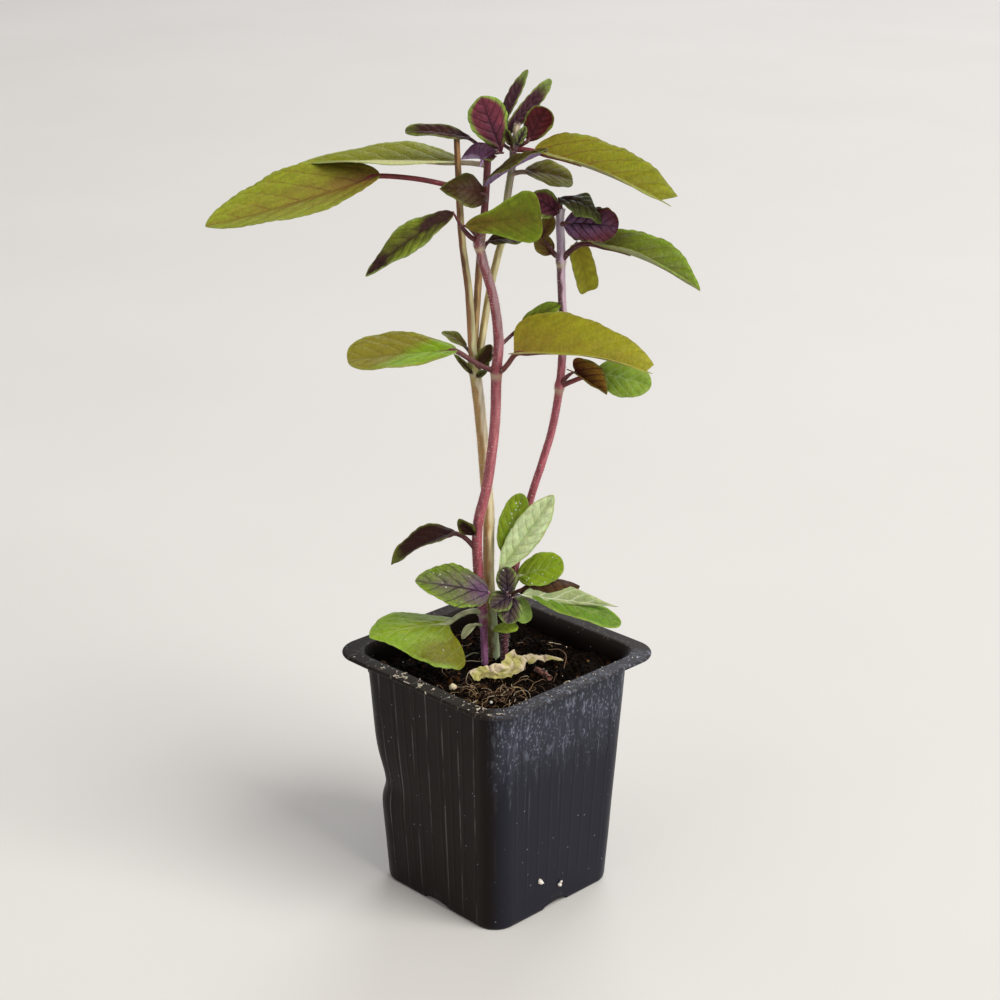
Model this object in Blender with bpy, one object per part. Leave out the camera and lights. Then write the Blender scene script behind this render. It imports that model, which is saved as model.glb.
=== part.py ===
"""Potted basil: three leafy stems in a square nursery pot.

The pot's walls follow X and Y, +Z is up, and the origin is the centre of the pot's base, on the ground.
The plant is laid out in its own frame, in millimetres: x to the right and y away, seen from the pot's
near corner, and z up. It is turned into place with PLANT_TURN.
"""

import math
from collections import namedtuple

import bpy
import numpy as np

MM = 0.001

# Driving sizes of the pot, in millimetres
RIM_SIDE = 90.0
NECK_SIDE = 75.0
BASE_SIDE = 65.0
POT_HEIGHT = 97.0
WALL = 0.9
FLOOR = 1.2
LIP = 1.6
RIM_CORNER = 12.0
WALL_CORNER = 9.0
CORNER_STEPS = 5

# Drain notches under the middle of each side, and drain holes in the floor
NOTCH_WIDTH = 14.0
NOTCH_HEIGHT = 2.2
NOTCH_DEPTH = 9.0
DRAIN_RADIUS = 3.0
DRAIN_CIRCLE = 17.0

# The crease that was pressed into the pot's left corner
DENT_DEPTH = 2.2
DENT_HEIGHT = 42.0
DENT_ABOVE = 11.0
DENT_BELOW = 5.0
DENT_REACH = 12.0
WALL_LEVELS = (24.0, 34.0, 38.5, DENT_HEIGHT, 47.0, 54.0, 66.0)

# The soil and the clearances
SOIL_TOP = 89.5
SOIL_RELIEF = 1.0
GAP = 0.35
STEM_FOOT = 67.0

# The plant
PLANT_TURN = math.radians(45.66)
BLADE = 0.8
TOOTH = 0.045
STALK_RADIUS = 0.85
TURN_LIMIT = 0.45
SQUARENESS = 0.06

Leaf = namedtuple(
    "Leaf",
    "root base tip width face widest blunt fold arch curl skew bow",
    defaults=(0.42, 0.7, 10.0, 0.0, 0.0, 0.0, 0.0),
)


def clear_scene():
    for obj in list(bpy.data.objects):
        bpy.data.objects.remove(obj, do_unlink=True)


def material(name, colour, roughness):
    made = bpy.data.materials.new(name)
    made.use_nodes = True
    shader = made.node_tree.nodes["Principled BSDF"]
    shader.inputs["Base Color"].default_value = (*colour, 1.0)
    shader.inputs["Roughness"].default_value = roughness
    shader.inputs["Metallic"].default_value = 0.0
    return made


def mesh_object(name, points, faces, finish=None):
    """An object from points in millimetres of the world frame."""
    mesh = bpy.data.meshes.new(name)
    mesh.from_pydata((np.asarray(points) * MM).tolist(), [], faces)
    mesh.validate()
    obj = bpy.data.objects.new(name, mesh)
    bpy.context.scene.collection.objects.link(obj)
    if finish:
        mesh.materials.append(finish)
    return obj


def as_cutter(obj):
    obj.hide_render = True
    obj.display_type = "WIRE"
    return obj


def cut(obj, cutter):
    step = obj.modifiers.new("cut_" + cutter.name, "BOOLEAN")
    step.operation = "DIFFERENCE"
    step.object = as_cutter(cutter)


def smooth(obj, degrees):
    obj.data.shade_smooth()
    obj.data.set_sharp_from_angle(angle=math.radians(degrees))


def plant_to_world(points):
    """Turns points of the plant's frame about Z into the pot's frame."""
    points = np.asarray(points, float)
    c, s = math.cos(PLANT_TURN), math.sin(PLANT_TURN)
    x, y, z = points[..., 0], points[..., 1], points[..., 2]
    return np.stack([x * c - y * s, x * s + y * c, z], axis=-1)


def world_to_plant(points):
    points = np.asarray(points, float)
    c, s = math.cos(PLANT_TURN), math.sin(PLANT_TURN)
    x, y, z = points[..., 0], points[..., 1], points[..., 2]
    return np.stack([x * c + y * s, y * c - x * s, z], axis=-1)


def unit(vectors):
    return vectors / np.linalg.norm(vectors, axis=-1, keepdims=True)


def rounded_square(side, corner, z):
    """A closed ring, counter-clockwise from above, of a square with round corners."""
    reach = side / 2 - corner
    quarter = np.linspace(0.0, math.pi / 2, CORNER_STEPS)
    rings = []
    for k, (sx, sy) in enumerate([(1, 1), (-1, 1), (-1, -1), (1, -1)]):
        angle = quarter + k * math.pi / 2
        rings.append(
            np.stack(
                [
                    sx * reach + corner * np.cos(angle),
                    sy * reach + corner * np.sin(angle),
                    np.full(CORNER_STEPS, z),
                ],
                axis=-1,
            )
        )
    return np.concatenate(rings)


def dented(points):
    """Pushes the points near the left corner inward, most at the crease."""
    p = world_to_plant(points)
    above = p[..., 2] - DENT_HEIGHT
    spread = np.where(above > 0, DENT_ABOVE, DENT_BELOW)
    push = DENT_DEPTH * np.exp(-((above / spread) ** 2)) * np.exp(-((p[..., 1] / DENT_REACH) ** 2))
    p[..., 0] += np.where(p[..., 0] < -20.0, push, 0.0)
    return plant_to_world(p)


def stack(rings, cap_first, cap_last):
    """Points and faces of rings joined in turn; the caps are polygons."""
    count = len(rings[0])
    faces = []
    for i in range(len(rings) - 1):
        for j in range(count):
            k = (j + 1) % count
            low, high = i * count, (i + 1) * count
            faces.append((low + j, low + k, high + k, high + j))
    last = (len(rings) - 1) * count
    if cap_first:
        faces.append(tuple(range(count - 1, -1, -1)))
    if cap_last:
        faces.append(tuple(range(last, last + count)))
    return np.concatenate(rings), faces


def wall_side(z):
    """The pot's outer side at a height: the wall tapers evenly from neck to base."""
    return BASE_SIDE + (NECK_SIDE - BASE_SIDE) * z / (POT_HEIGHT - LIP)


def build_pot(finish):
    under = POT_HEIGHT - LIP
    profile = [(BASE_SIDE - 1.6, WALL_CORNER - 1.0, 0.0)]
    profile += [(wall_side(z), WALL_CORNER, z) for z in [1.0, *WALL_LEVELS, under]]
    profile += [
        (RIM_SIDE - 0.8, RIM_CORNER - 0.4, under),
        (RIM_SIDE, RIM_CORNER, under + 0.5),
        (RIM_SIDE, RIM_CORNER, POT_HEIGHT - 0.4),
        (RIM_SIDE - 0.8, RIM_CORNER - 0.4, POT_HEIGHT),
        (NECK_SIDE + 3.4, WALL_CORNER + 1.0, POT_HEIGHT),
        (NECK_SIDE + 1.2, WALL_CORNER, POT_HEIGHT - 0.7),
    ]
    inner = [under - 2.0, *reversed(WALL_LEVELS), FLOOR]
    profile += [(wall_side(z) - 2 * WALL, WALL_CORNER - WALL, z) for z in inner]
    rings = [dented(rounded_square(side, corner, z)) for side, corner, z in profile]
    pot = mesh_object("pot", *stack(rings, True, True), finish)
    smooth(pot, 35)
    for k in range(4):
        cut(pot, notch_cutter(k))
        cut(pot, drain_cutter(k))
    return pot


def notch_cutter(k):
    """An arched tunnel through the wall's foot, in the middle of side k."""
    half = NOTCH_WIDTH / 2
    outline = [(-half, -2.0), (half, -2.0), (half, NOTCH_HEIGHT * 0.45)]
    outline += [(half * 0.8, NOTCH_HEIGHT), (-half * 0.8, NOTCH_HEIGHT), (-half, NOTCH_HEIGHT * 0.45)]
    far, near = BASE_SIDE / 2 + 4.0, BASE_SIDE / 2 - NOTCH_DEPTH
    rings = [np.array([(r, across, z) for across, z in outline]) for r in (near, far)]
    points, faces = stack(rings, True, True)
    turn = k * math.pi / 2
    x, y = points[:, 0].copy(), points[:, 1].copy()
    points[:, 0] = x * math.cos(turn) - y * math.sin(turn)
    points[:, 1] = x * math.sin(turn) + y * math.cos(turn)
    return mesh_object(f"notch_cutter_{k}", points, faces)


def drain_cutter(k):
    """A round hole through the floor, on the diagonal k."""
    angle = math.pi / 4 + k * math.pi / 2
    centre = np.array([math.cos(angle), math.sin(angle), 0.0]) * DRAIN_CIRCLE
    path = np.array([centre - (0, 0, 2.0), centre + (0, 0, FLOOR + 2.0)])
    points, faces = tube(path, [DRAIN_RADIUS, DRAIN_RADIUS], 16, 0.0)
    return mesh_object(f"drain_cutter_{k}", points, faces)


def soil_height(points):
    """Low mounds, a little higher towards the near corner."""
    p = world_to_plant(points)
    x, y = p[..., 0], p[..., 1]
    waves = np.sin(0.21 * x + 0.8) * np.cos(0.17 * y) + 0.6 * np.sin(0.33 * y + 0.12 * x)
    mound = 1.6 * np.exp(-((x / 14) ** 2) - ((y + 30) / 14) ** 2)
    return SOIL_TOP + SOIL_RELIEF * waves + mound


def build_soil(finish):
    """A block that fills the pot to below its rim, with its top in low mounds."""
    levels = [FLOOR + GAP, *WALL_LEVELS]

    def ring(z):
        side = wall_side(z) - 2 * WALL - 2 * GAP
        return rounded_square(side, WALL_CORNER - WALL - GAP, z)

    rings = [dented(ring(z)) for z in levels]
    edge = ring(SOIL_TOP)
    for share in (1.0, 0.86, 0.7, 0.54, 0.38, 0.22):
        inner = edge.copy()
        inner[:, :2] *= share
        inner[:, 2] = soil_height(inner)
        rings.append(inner)
    points, faces = stack(rings, True, False)
    centre = np.array([[0.0, 0.0, 0.0]])
    centre[:, 2] = soil_height(centre)
    points = np.concatenate([points, centre])
    count = len(edge)
    last = len(points) - 1 - count
    faces += [(last + j, last + (j + 1) % count, len(points) - 1) for j in range(count)]
    soil = mesh_object("soil", points, faces, finish)
    smooth(soil, 60)
    return soil


def along(points, per_span):
    """A smooth curve through the points (Catmull-Rom), with per_span steps between two of them."""
    p = np.asarray(points, float)
    p = np.concatenate([[2 * p[0] - p[1]], p, [2 * p[-1] - p[-2]]])
    t = np.linspace(0.0, 1.0, per_span, endpoint=False)[:, None]
    spans = []
    for a, b, c, d in zip(p[:-3], p[1:-2], p[2:-1], p[3:]):
        spans.append(
            0.5 * (2 * b + (c - a) * t + (2 * a - 5 * b + 4 * c - d) * t**2 + (3 * b - a - 3 * c + d) * t**3)
        )
    return np.concatenate([*spans, p[-2:-1]])


def bow_path(start, end, rise, steps):
    """A path from start to end that rises by a given height at its middle."""
    t = np.linspace(0.0, 1.0, steps + 1)[:, None]
    path = np.asarray(start) * (1 - t) + np.asarray(end) * t
    path[:, 2] += 4 * rise * (t * (1 - t))[:, 0]
    return path


def tube(path, radii, sides, squareness):
    """A closed tube round a path; squareness draws the section out into four soft edges."""
    path = np.asarray(path, float)
    tangents = unit(np.gradient(path, axis=0))
    across = unit(np.cross(tangents[0], (0.31, 0.95, 0.05)))
    angle = np.linspace(0.0, 2 * math.pi, sides, endpoint=False)
    shape = 1.0 + squareness * np.cos(4 * angle)
    rings = []
    for centre, tangent, radius in zip(path, tangents, radii):
        across = unit(across - tangent * (across @ tangent))
        other = np.cross(tangent, across)
        circle = np.cos(angle)[:, None] * across + np.sin(angle)[:, None] * other
        rings.append(centre + radius * shape[:, None] * circle)
    return stack(rings, True, True)


def blade_frame(leaf, u):
    """Midrib points, and the side and upward directions along it."""
    base, tip = np.array(leaf.base, float), np.array(leaf.tip, float)
    chord = unit(tip - base)
    up = np.array(leaf.face, float)
    up = unit(up - chord * (up @ chord))
    rise = leaf.arch * 4 * u * (1 - u)
    spine = base + (tip - base) * u[:, None] + up * rise[:, None]
    tangents = unit(np.gradient(spine, axis=0))
    side = unit(np.cross(tangents, up))
    return spine, side, np.cross(side, tangents)


def half_width(leaf, u):
    """The blade's half width: widest at one point, blunt at the base and drawn to a tip."""
    power = leaf.blunt * (1 - leaf.widest) / leaf.widest
    rising = (u / leaf.widest) ** leaf.blunt
    falling = ((1 - u) / (1 - leaf.widest)) ** power
    return leaf.width / 2 * rising * falling


def blade(leaf, rows, columns):
    """A thin leaf blade: folded along the midrib, curled at its sides, and toothed at its edge.

    A positive skew makes the half on the blade's left, seen from the stalk, the wider one.
    """
    u = np.linspace(0.0, 1.0, rows + 1)
    v = np.linspace(-1.0, 1.0, columns + 1)
    spine, side, up = blade_frame(leaf, u)
    half = half_width(leaf, u)
    tooth = 1.0 + TOOTH * np.where(np.arange(rows + 1) % 2, 1.0, -1.0)
    reach = half[:, None] * np.where(np.abs(v) > 0.99, tooth[:, None], 1.0)
    reach = reach * (1.0 - leaf.skew * np.sign(v))
    fold = math.radians(leaf.fold)
    out = v * reach * math.cos(fold)
    lift = np.abs(v) * reach * math.sin(fold) - leaf.curl * half[:, None] * v**2
    slope = np.sign(v) * math.sin(fold) - 2 * leaf.curl * v
    middle = spine[:, None] + side[:, None] * out[..., None] + up[:, None] * lift[..., None]
    normal = unit(up[:, None] * math.cos(fold) - side[:, None] * slope[None, :, None])
    sheets = []
    for shift in (BLADE / 2, -BLADE / 2):
        sheet = middle + normal * shift
        poles = spine[[0, -1]] + up[[0, -1]] * shift
        sheets.append(np.concatenate([poles[:1], sheet[1:-1].reshape(-1, 3), poles[1:]]))
    return np.concatenate(sheets), blade_faces(rows, columns)


def blade_faces(rows, columns):
    """Triangles of the two sheets, split alike, and of the edge between them."""
    wide = columns + 1
    tip = 1 + (rows - 1) * wide
    under = tip + 1

    def at(i, j):
        return 1 + (i - 1) * wide + j

    top = [(0, at(1, j + 1), at(1, j)) for j in range(columns)]
    for i in range(1, rows - 1):
        for j in range(columns):
            a, b, c, d = at(i, j), at(i, j + 1), at(i + 1, j + 1), at(i + 1, j)
            top += [(a, b, c), (a, c, d)] if j >= columns / 2 else [(a, b, d), (b, c, d)]
    top += [(at(rows - 1, j), at(rows - 1, j + 1), tip) for j in range(columns)]
    bottom = [(c + under, b + under, a + under) for a, b, c in top]
    right = [at(i, columns) for i in range(1, rows)]
    left = [at(i, 0) for i in range(rows - 1, 0, -1)]
    loop = [0, *right, tip, *left]
    edge = []
    for p, q in zip(loop, [*loop[1:], loop[0]]):
        edge += [(p + under, q + under, q), (p + under, q, p)]
    return top + bottom + edge


def leaf_parts(leaf):
    """The blade, and its stalk, which starts in the middle of the stem.

    The stalk runs on under the midrib, or ends just past the blade's base where it meets it at a sharp turn.
    """
    length = np.linalg.norm(np.subtract(leaf.tip, leaf.base))
    rows = 9 if length > 30 else 6 if length > 16 else 5
    columns = 4 if leaf.width > 9.5 else 2
    spine, _, up = blade_frame(leaf, np.array([0.0, 0.12, 0.24]))
    stalk = bow_path(leaf.root, leaf.base, leaf.bow, 3)
    way = unit(stalk[-1] - stalk[-2])
    if way @ unit(spine[1] - spine[0]) > TURN_LIMIT:
        stalk = np.concatenate([stalk, spine[1:] - up[1:] * BLADE * 0.45])
    else:
        stalk[-1] += way * BLADE
    thin = min(1.0, 0.45 + leaf.width / 30)
    radii = STALK_RADIUS * thin * np.array([1.35, 1.05, 1.0, 1.0, 0.8, 0.45])
    return [blade(leaf, rows, columns), tube(stalk, radii[: len(stalk)], 5, 0.0)]


def stem_radii(path, first, last, joints):
    """Radii that taper evenly and swell at the joints, which are given by their heights."""
    steps = np.linalg.norm(np.diff(path, axis=0), axis=1)
    share = np.concatenate([[0.0], np.cumsum(steps)]) / steps.sum()
    radii = first + (last - first) * share
    for height in joints:
        radii = radii + 0.4 * np.exp(-(((path[:, 2] - height) / 2.2) ** 2))
    return radii


def fused(name, shapes, finish):
    """One body from closed shapes: the first takes in all the others by a union."""
    body = mesh_object(name, *plant_shape(shapes[0]), finish)
    others = bpy.data.collections.new(name + "_shapes")
    bpy.context.scene.collection.children.link(others)
    for k, shape in enumerate(shapes[1:]):
        piece = mesh_object(f"{name}_shape_{k}", *plant_shape(shape), finish)
        bpy.context.scene.collection.objects.unlink(piece)
        others.objects.link(piece)
    join = body.modifiers.new("join", "BOOLEAN")
    join.operation = "UNION"
    join.operand_type = "COLLECTION"
    join.collection = others
    bpy.context.view_layer.update()
    graph = bpy.context.evaluated_depsgraph_get()
    joined = bpy.data.meshes.new_from_object(body.evaluated_get(graph))
    body.modifiers.clear()
    body.data = joined
    for piece in list(others.objects):
        bpy.data.objects.remove(piece, do_unlink=True)
    bpy.data.collections.remove(others)
    smooth(body, 50)
    return body


def plant_shape(shape):
    points, faces = shape
    return plant_to_world(points), faces


def stem_hole(soil, name, path, radius):
    """A plain hole in the soil for a stem's straight foot."""
    foot, top = np.array(path[0], float), np.array(path[1], float)
    way = unit(top - foot)
    ends = np.array([foot - way * GAP, top + way * 8.0])
    wide = radius * (1 + SQUARENESS) + GAP
    cut(soil, mesh_object(name, *plant_shape(tube(ends, [wide, wide], 16, 0.0))))


# The red stem in front: a straight foot in the soil, then a long bow to its pinched top
RED_PATH = [(-4.3, 3.0, STEM_FOOT), (-4.6, 2.5, 92), (-5.3, 1.5, 112), (-7, 0, 130), (-7, -1.5, 148)]
RED_PATH += [(-4, -3, 162), (-2, -3, 175), (-0.5, -3, 190), (0, -3, 208), (0.7, -3, 220), (-1, -3.5, 235)]
RED_PATH += [(-4.5, -4, 248), (-6.3, -4, 256), (-6, -4, 260)]
RED_LEAVES = [
    Leaf((-6, -4, 256), (-15, -7, 267), (-46, -10, 246), 16, (-0.5, -0.5, 0.7), 0.4, 0.6, 8, 2, bow=-2),
    Leaf((-6, -4, 257), (-11, -9, 262.5), (15, -12, 267.5), 18, (0, -0.95, 0.3), 0.74, 1.3, 4, -1, bow=1),
    Leaf((-5, -4, 253), (-3, -3, 256), (9, -3, 256), 8, (0, -0.3, 0.9), 0.5, 0.6, 6, 1),
    Leaf((0, -3, 208), (-14, -6, 217), (-53, -12, 215), 24, (0, -0.31, 0.95), 0.56, 0.6, 10, 1, bow=-1),
    Leaf((0, -3, 208), (6, -7, 216), (54, -13, 212), 32, (0, -0.3, 0.95), 0.3, 0.3, 34, 4, bow=-2),
    Leaf((0.6, -3, 217), (7, 2, 224), (19, 4, 230), 8, (-0.2, -0.5, 0.8), 0.45, 0.6, 6, 1),
    Leaf((-7, -0.5, 137), (-15, -2, 145.5), (-39, -8, 135), 15.5, (0, -0.1, 1), 0.45, 0.7, 24, 2, bow=1),
    Leaf((-7, -1.5, 143), (-8, -3, 145), (-14, -5, 152), 6, (-0.6, -0.6, 0.5), 0.5, 0.7, 6, 1),
    Leaf((-6.3, 1, 121), (-3, -5, 122.5), (-30, -14, 131), 18, (0, -0.6, 0.8), 0.35, 0.5, 6, 1),
    Leaf((-5.3, 1.5, 112), (-18, -6, 110.5), (-47, -18, 110), 31, (0, -0.5, 0.87), 0.26, 0.3, -25, 2, 0, 0.3, 2),
    Leaf((-5, 2, 106), (-8, -3, 109), (-13, -6, 104), 4, (-0.6, -0.6, 0.5), 0.5, 0.7, 6, 1),
]

# The pale stem, which forks in three at its joint: a dead stick, a brown twig and a green one
PALE_PATH = [(-0.8, 7.2, STEM_FOOT), (-1, 7, 92), (-2, 6, 108), (-3, 5, 124), (-3, 4.5, 139), (-3, 4.5, 152)]
PALE_PATH += [(-4, 4.5, 164), (-5, 4, 178), (-6.5, 4, 195), (-8, 4, 207), (-8.6, 4.5, 212)]
STICK_PATH = [(-8, 4, 203), (-9, 4, 219), (-10, 4.5, 236), (-12, 5, 252), (-13, 5.5, 266), (-13.5, 6, 279)]
STICK_PATH += [(-14, 6.5, 291)]
TWIG_PATH = [(-8, 4, 204), (-8, 7, 216), (-7, 8.5, 232), (-6, 8.5, 246), (-4.5, 8, 262), (-3.5, 7.5, 275)]
TWIG_PATH += [(-3, 6.5, 284), (-2, 5.5, 287)]
GREEN_PATH = [(-8, 4, 204), (-6, 6, 213), (-3, 8, 232), (0, 9, 246), (2.5, 9, 256), (4, 8.5, 270), (5.5, 7, 280)]
GREEN_PATH += [(6, 5.5, 288)]
PALE_LEAVES = [
    Leaf((-4, 8, 270), (-41, 6, 278), (-102, -6, 262), 34, (0, -0.32, 0.95), 0.45, 0.6, 16, -1, bow=1),
    Leaf((-3.5, 7.5, 281), (-13, 8, 282), (-70, 14, 281), 27, (0, -0.09, 1), 0.4, 0.65, 12, 1),
    Leaf((-3, 6.5, 285), (-9, 7, 291), (-31, 6, 294), 8, (0, -0.2, 1), 0.4, 0.6, 8, 1),
    Leaf((-2, 5.5, 286), (2, 4, 286), (-5.5, 2, 306), 14, (0.1, -1, 0.25), 0.62, 1.1, -5, -1),
    Leaf((6, 6, 286), (1, 8, 292), (11, 10, 314), 7, (-0.6, -0.7, 0.3), 0.45, 0.7, 8, 1),
    Leaf((6, 6, 286), (1.5, 7, 291), (19, 8, 311), 7, (0.4, -0.8, 0.4), 0.45, 0.7, 8, 1),
    Leaf((6, 5.5, 287), (11, 4, 290), (17.5, 2, 302), 10, (0.1, -0.95, 0.2), 0.6, 0.7, -4, -1),
    Leaf((-2, 5.5, 286), (0, 2, 287), (-12, -1, 285), 6, (0, -0.4, 1), 0.45, 0.6, -12, 4),
    Leaf((-2, 5.5, 284.6), (-0.4, 2.4, 285), (-8, 0, 286.5), 6.5, (-0.2, -0.5, 0.8), 0.5, 0.6, 6, 0),
    Leaf((6, 5.5, 287), (13, 3, 287), (60, -10, 270), 28, (0, -0.2, 0.98), 0.4, 0.6, 13, 2.5),
    Leaf((5.5, 7, 278), (10, 6, 279), (27, 9, 275), 14, (0.1, -0.45, 0.9), 0.6, 0.6, 6, 1),
    Leaf((-3.5, 7.5, 275), (-3, 3, 274), (17, -4, 288), 12, (-0.2, -0.1, 1), 0.4, 0.5, 35, 0),
    Leaf((-4, 8, 268), (-4, 4, 271), (-20, 0, 274), 13, (0, -0.75, 0.6), 0.35, 0.5, -8, 3),
    Leaf((5.6, 5.8, 286), (5.2, 4.2, 288.4), (3.8, 3, 296), 4, (-0.5, -0.8, 0.2), 0.5, 0.6, 6, 0),
    Leaf((6.2, 5.6, 285), (7, 3, 288.4), (9, 2.8, 297), 4, (0.3, -0.9, 0.2), 0.5, 0.6, 6, 0),
    Leaf((-8, 4, 207), (-7, 1.5, 209), (-2, 1, 217), 6, (0.4, -0.8, 0.3), 0.5, 0.6, 6, 1),
    Leaf((-8, 4, 207), (-6, 2, 208), (-3, 1.5, 211), 4, (0.3, -0.8, 0.4), 0.5, 0.6, 6, 0),
    Leaf((-8.6, 4.5, 211), (-11, 8, 214), (-20, 10, 219), 6, (0, -0.3, 1), 0.5, 0.6, 6, 1),
    Leaf((-1.8, 6.2, 104.5), (-1.5, -1, 105.8), (8, -5.5, 108.2), 5, (0, -0.6, 0.8), 0.6, 0.6, 6, 1),
]

# The purple stem on the right, with the young shoots at its foot
PURPLE_PATH = [(2.8, 1.5, STEM_FOOT), (2.8, 1.5, 92), (3.2, 2, 104), (5, 3, 118), (7.5, 4, 132), (12, 5, 154)]
PURPLE_PATH += [(17, 5, 171), (20.5, 5, 184), (23, 5, 200), (24, 5, 215), (23.8, 5, 228), (23.2, 5, 240)]
PURPLE_PATH += [(23, 5, 252), (22.5, 5, 262), (23, 5, 266)]
PURPLE_LEAVES = [
    Leaf((23, 5, 264), (22, 4, 265), (12, 2, 271), 10, (-0.2, -0.8, 0.5), 0.5, 0.5, -6, 1),
    Leaf((23, 5, 265), (22, 2, 270), (37, -1, 262), 11, (0.3, -0.5, 0.8), 0.45, 0.5, -10, 4),
    Leaf((22.5, 5, 260), (24, 3, 261), (43, -2, 261), 14, (0, -0.8, 0.6), 0.5, 0.45, -4, 1),
    Leaf((23, 5, 247), (34, 2, 254), (72, -7, 239), 26, (0, -0.16, 0.99), 0.45, 0.6, 19, 3, bow=2),
    Leaf((23, 5, 247), (26, 9, 251), (33, 12, 234), 11, (0.2, -1, 0.3), 0.6, 0.6, 5, 1),
    Leaf((23, 5, 247), (16, 8, 255), (20, 7, 263), 6, (-0.2, -0.9, 0.3), 0.5, 0.6, 5, 0),
    Leaf((23, 5, 247), (20, 7, 249), (14, 8, 255), 7, (-0.1, -0.9, 0.4), 0.5, 0.6, 5, 0),
    Leaf((23, 5, 200), (29, -1, 207), (40, -5, 201), 12, (0.3, -0.8, 0.5), 0.5, 0.45, -12, 1, bow=1),
    Leaf((23, 5, 200), (36, 3, 206), (56, -1, 202), 15, (0, -0.8, 0.6), 0.5, 0.55, 6, 1),
    Leaf((4.2, 2.5, 112), (1, -4, 131), (21, -4, 161), 12, (-0.3, -0.9, 0.4), 0.52, 0.8, 8, -1),
    Leaf((4.2, 2.5, 112), (2, 0, 137), (9.5, 3, 159), 10, (0, -0.9, 0.4), 0.55, 0.6, 6, 0),
    Leaf((5, 3, 118), (8, 0, 127), (25, -3, 133), 13, (0, -0.7, 0.7), 0.55, 0.5, 5, 1),
    Leaf((4.5, 2.5, 114), (4, -6, 123), (3.5, -5, 133), 8, (0, -0.9, 0.4), 0.5, 0.5, -6, 0),
    Leaf((4.5, 2.5, 114), (5, -4, 121), (-2, -9, 118), 9, (-0.3, -0.8, 0.5), 0.5, 0.5, 5, 0),
    Leaf((4.5, 2.5, 114), (6, -4, 120), (4, -10, 112), 9, (0, -0.8, 0.5), 0.5, 0.5, 5, 0),
    Leaf((4.5, 2.5, 113), (8, -2, 118), (13, -5, 110), 8, (0.3, -0.8, 0.5), 0.5, 0.5, 5, 0),
    Leaf((4.8, 2.8, 116), (11, -4, 122), (46, -9, 112), 13.5, (0, -0.3, 0.95), 0.5, 0.6, -8, 3.5),
    Leaf((5, 3, 118), (8, 1, 123), (31, 1, 125), 9, (0, -0.3, 0.95), 0.5, 0.5, -10, 3),
]

# Loose things on the soil
DRY_LEAF = Leaf((-10, -15, 91.6), (-8.8, -14.5, 91.6), (25.6, 5, 90.1), 8, (0.1, -0.35, 0.95), 0.35, 0.5, -8, 2, 0, 0.2)
TWIG_ENDS = ((15, -6.2, 91.5), (19.9, -15, 92))
TWIG_RADIUS = 1.1


def build_red_stem(finish, soil):
    path = along(RED_PATH, 2)
    radii = stem_radii(path, 1.25, 1.6, [112, 208, 255])
    radii = np.maximum(radii, np.where((path[:, 2] > 120) & (path[:, 2] < 225), 1.8, 0.0))
    shapes = [tube(path, radii, 8, SQUARENESS)]
    for leaf in RED_LEAVES:
        shapes += leaf_parts(leaf)
    stem_hole(soil, "red_hole", RED_PATH, radii[0])
    return fused("stem_red", shapes, finish)


def build_pale_stem(finish, soil):
    path = along(PALE_PATH, 1)
    radii = stem_radii(path, 2.0, 2.0, [207])
    shapes = [tube(path, radii, 8, SQUARENESS)]
    for points, first, last in ((STICK_PATH, 1.5, 1.0), (TWIG_PATH, 1.3, 1.2), (GREEN_PATH, 1.3, 1.2)):
        branch = along(points, 1)
        shapes.append(tube(branch, stem_radii(branch, first, last, []), 8, SQUARENESS))
    for leaf in PALE_LEAVES:
        shapes += leaf_parts(leaf)
    stem_hole(soil, "pale_hole", PALE_PATH, radii[0])
    return fused("stem_pale", shapes, finish)


def build_purple_stem(finish, soil):
    path = along(PURPLE_PATH, 1)
    radii = stem_radii(path, 1.35, 1.4, [112, 200, 247])
    shapes = [tube(path, radii, 8, SQUARENESS)]
    for leaf in PURPLE_LEAVES:
        shapes += leaf_parts(leaf)
    stem_hole(soil, "purple_hole", PURPLE_PATH, radii[0])
    return fused("stem_purple", shapes, finish)


def build_dry_leaf(finish):
    fused("dry_leaf", leaf_parts(DRY_LEAF), finish)


def build_twig(finish):
    path = bow_path(*TWIG_ENDS, 0.5, 5)
    radii = TWIG_RADIUS * np.array([0.9, 1.1, 0.95, 1.05, 1.0, 0.85])
    twig = mesh_object("twig", *plant_shape(tube(path, radii, 8, 0.0)), finish)
    smooth(twig, 50)


def main():
    clear_scene()
    build_pot(material("black_plastic", (0.018, 0.019, 0.021), 0.38))
    soil = build_soil(material("peat_soil", (0.035, 0.022, 0.015), 0.95))
    build_red_stem(material("red_stem_leaf", (0.20, 0.26, 0.05), 0.45), soil)
    build_pale_stem(material("pale_stem_leaf", (0.24, 0.29, 0.05), 0.45), soil)
    build_purple_stem(material("purple_stem_leaf", (0.15, 0.20, 0.06), 0.45), soil)
    build_dry_leaf(material("dry_leaf", (0.62, 0.52, 0.33), 0.8))
    build_twig(material("bark", (0.16, 0.09, 0.08), 0.8))


main()
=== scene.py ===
# %% [markdown]
# # A potted basil
#
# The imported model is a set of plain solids: a square nursery pot, its soil, three
# leafy stems, a dried leaf and a bit of twig. This lesson dresses each of them. Every
# solid is replaced by finer surfaces of the same form, worked out with numpy, and each
# surface gets a material built from nodes.

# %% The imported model
import math
from collections import namedtuple

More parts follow.
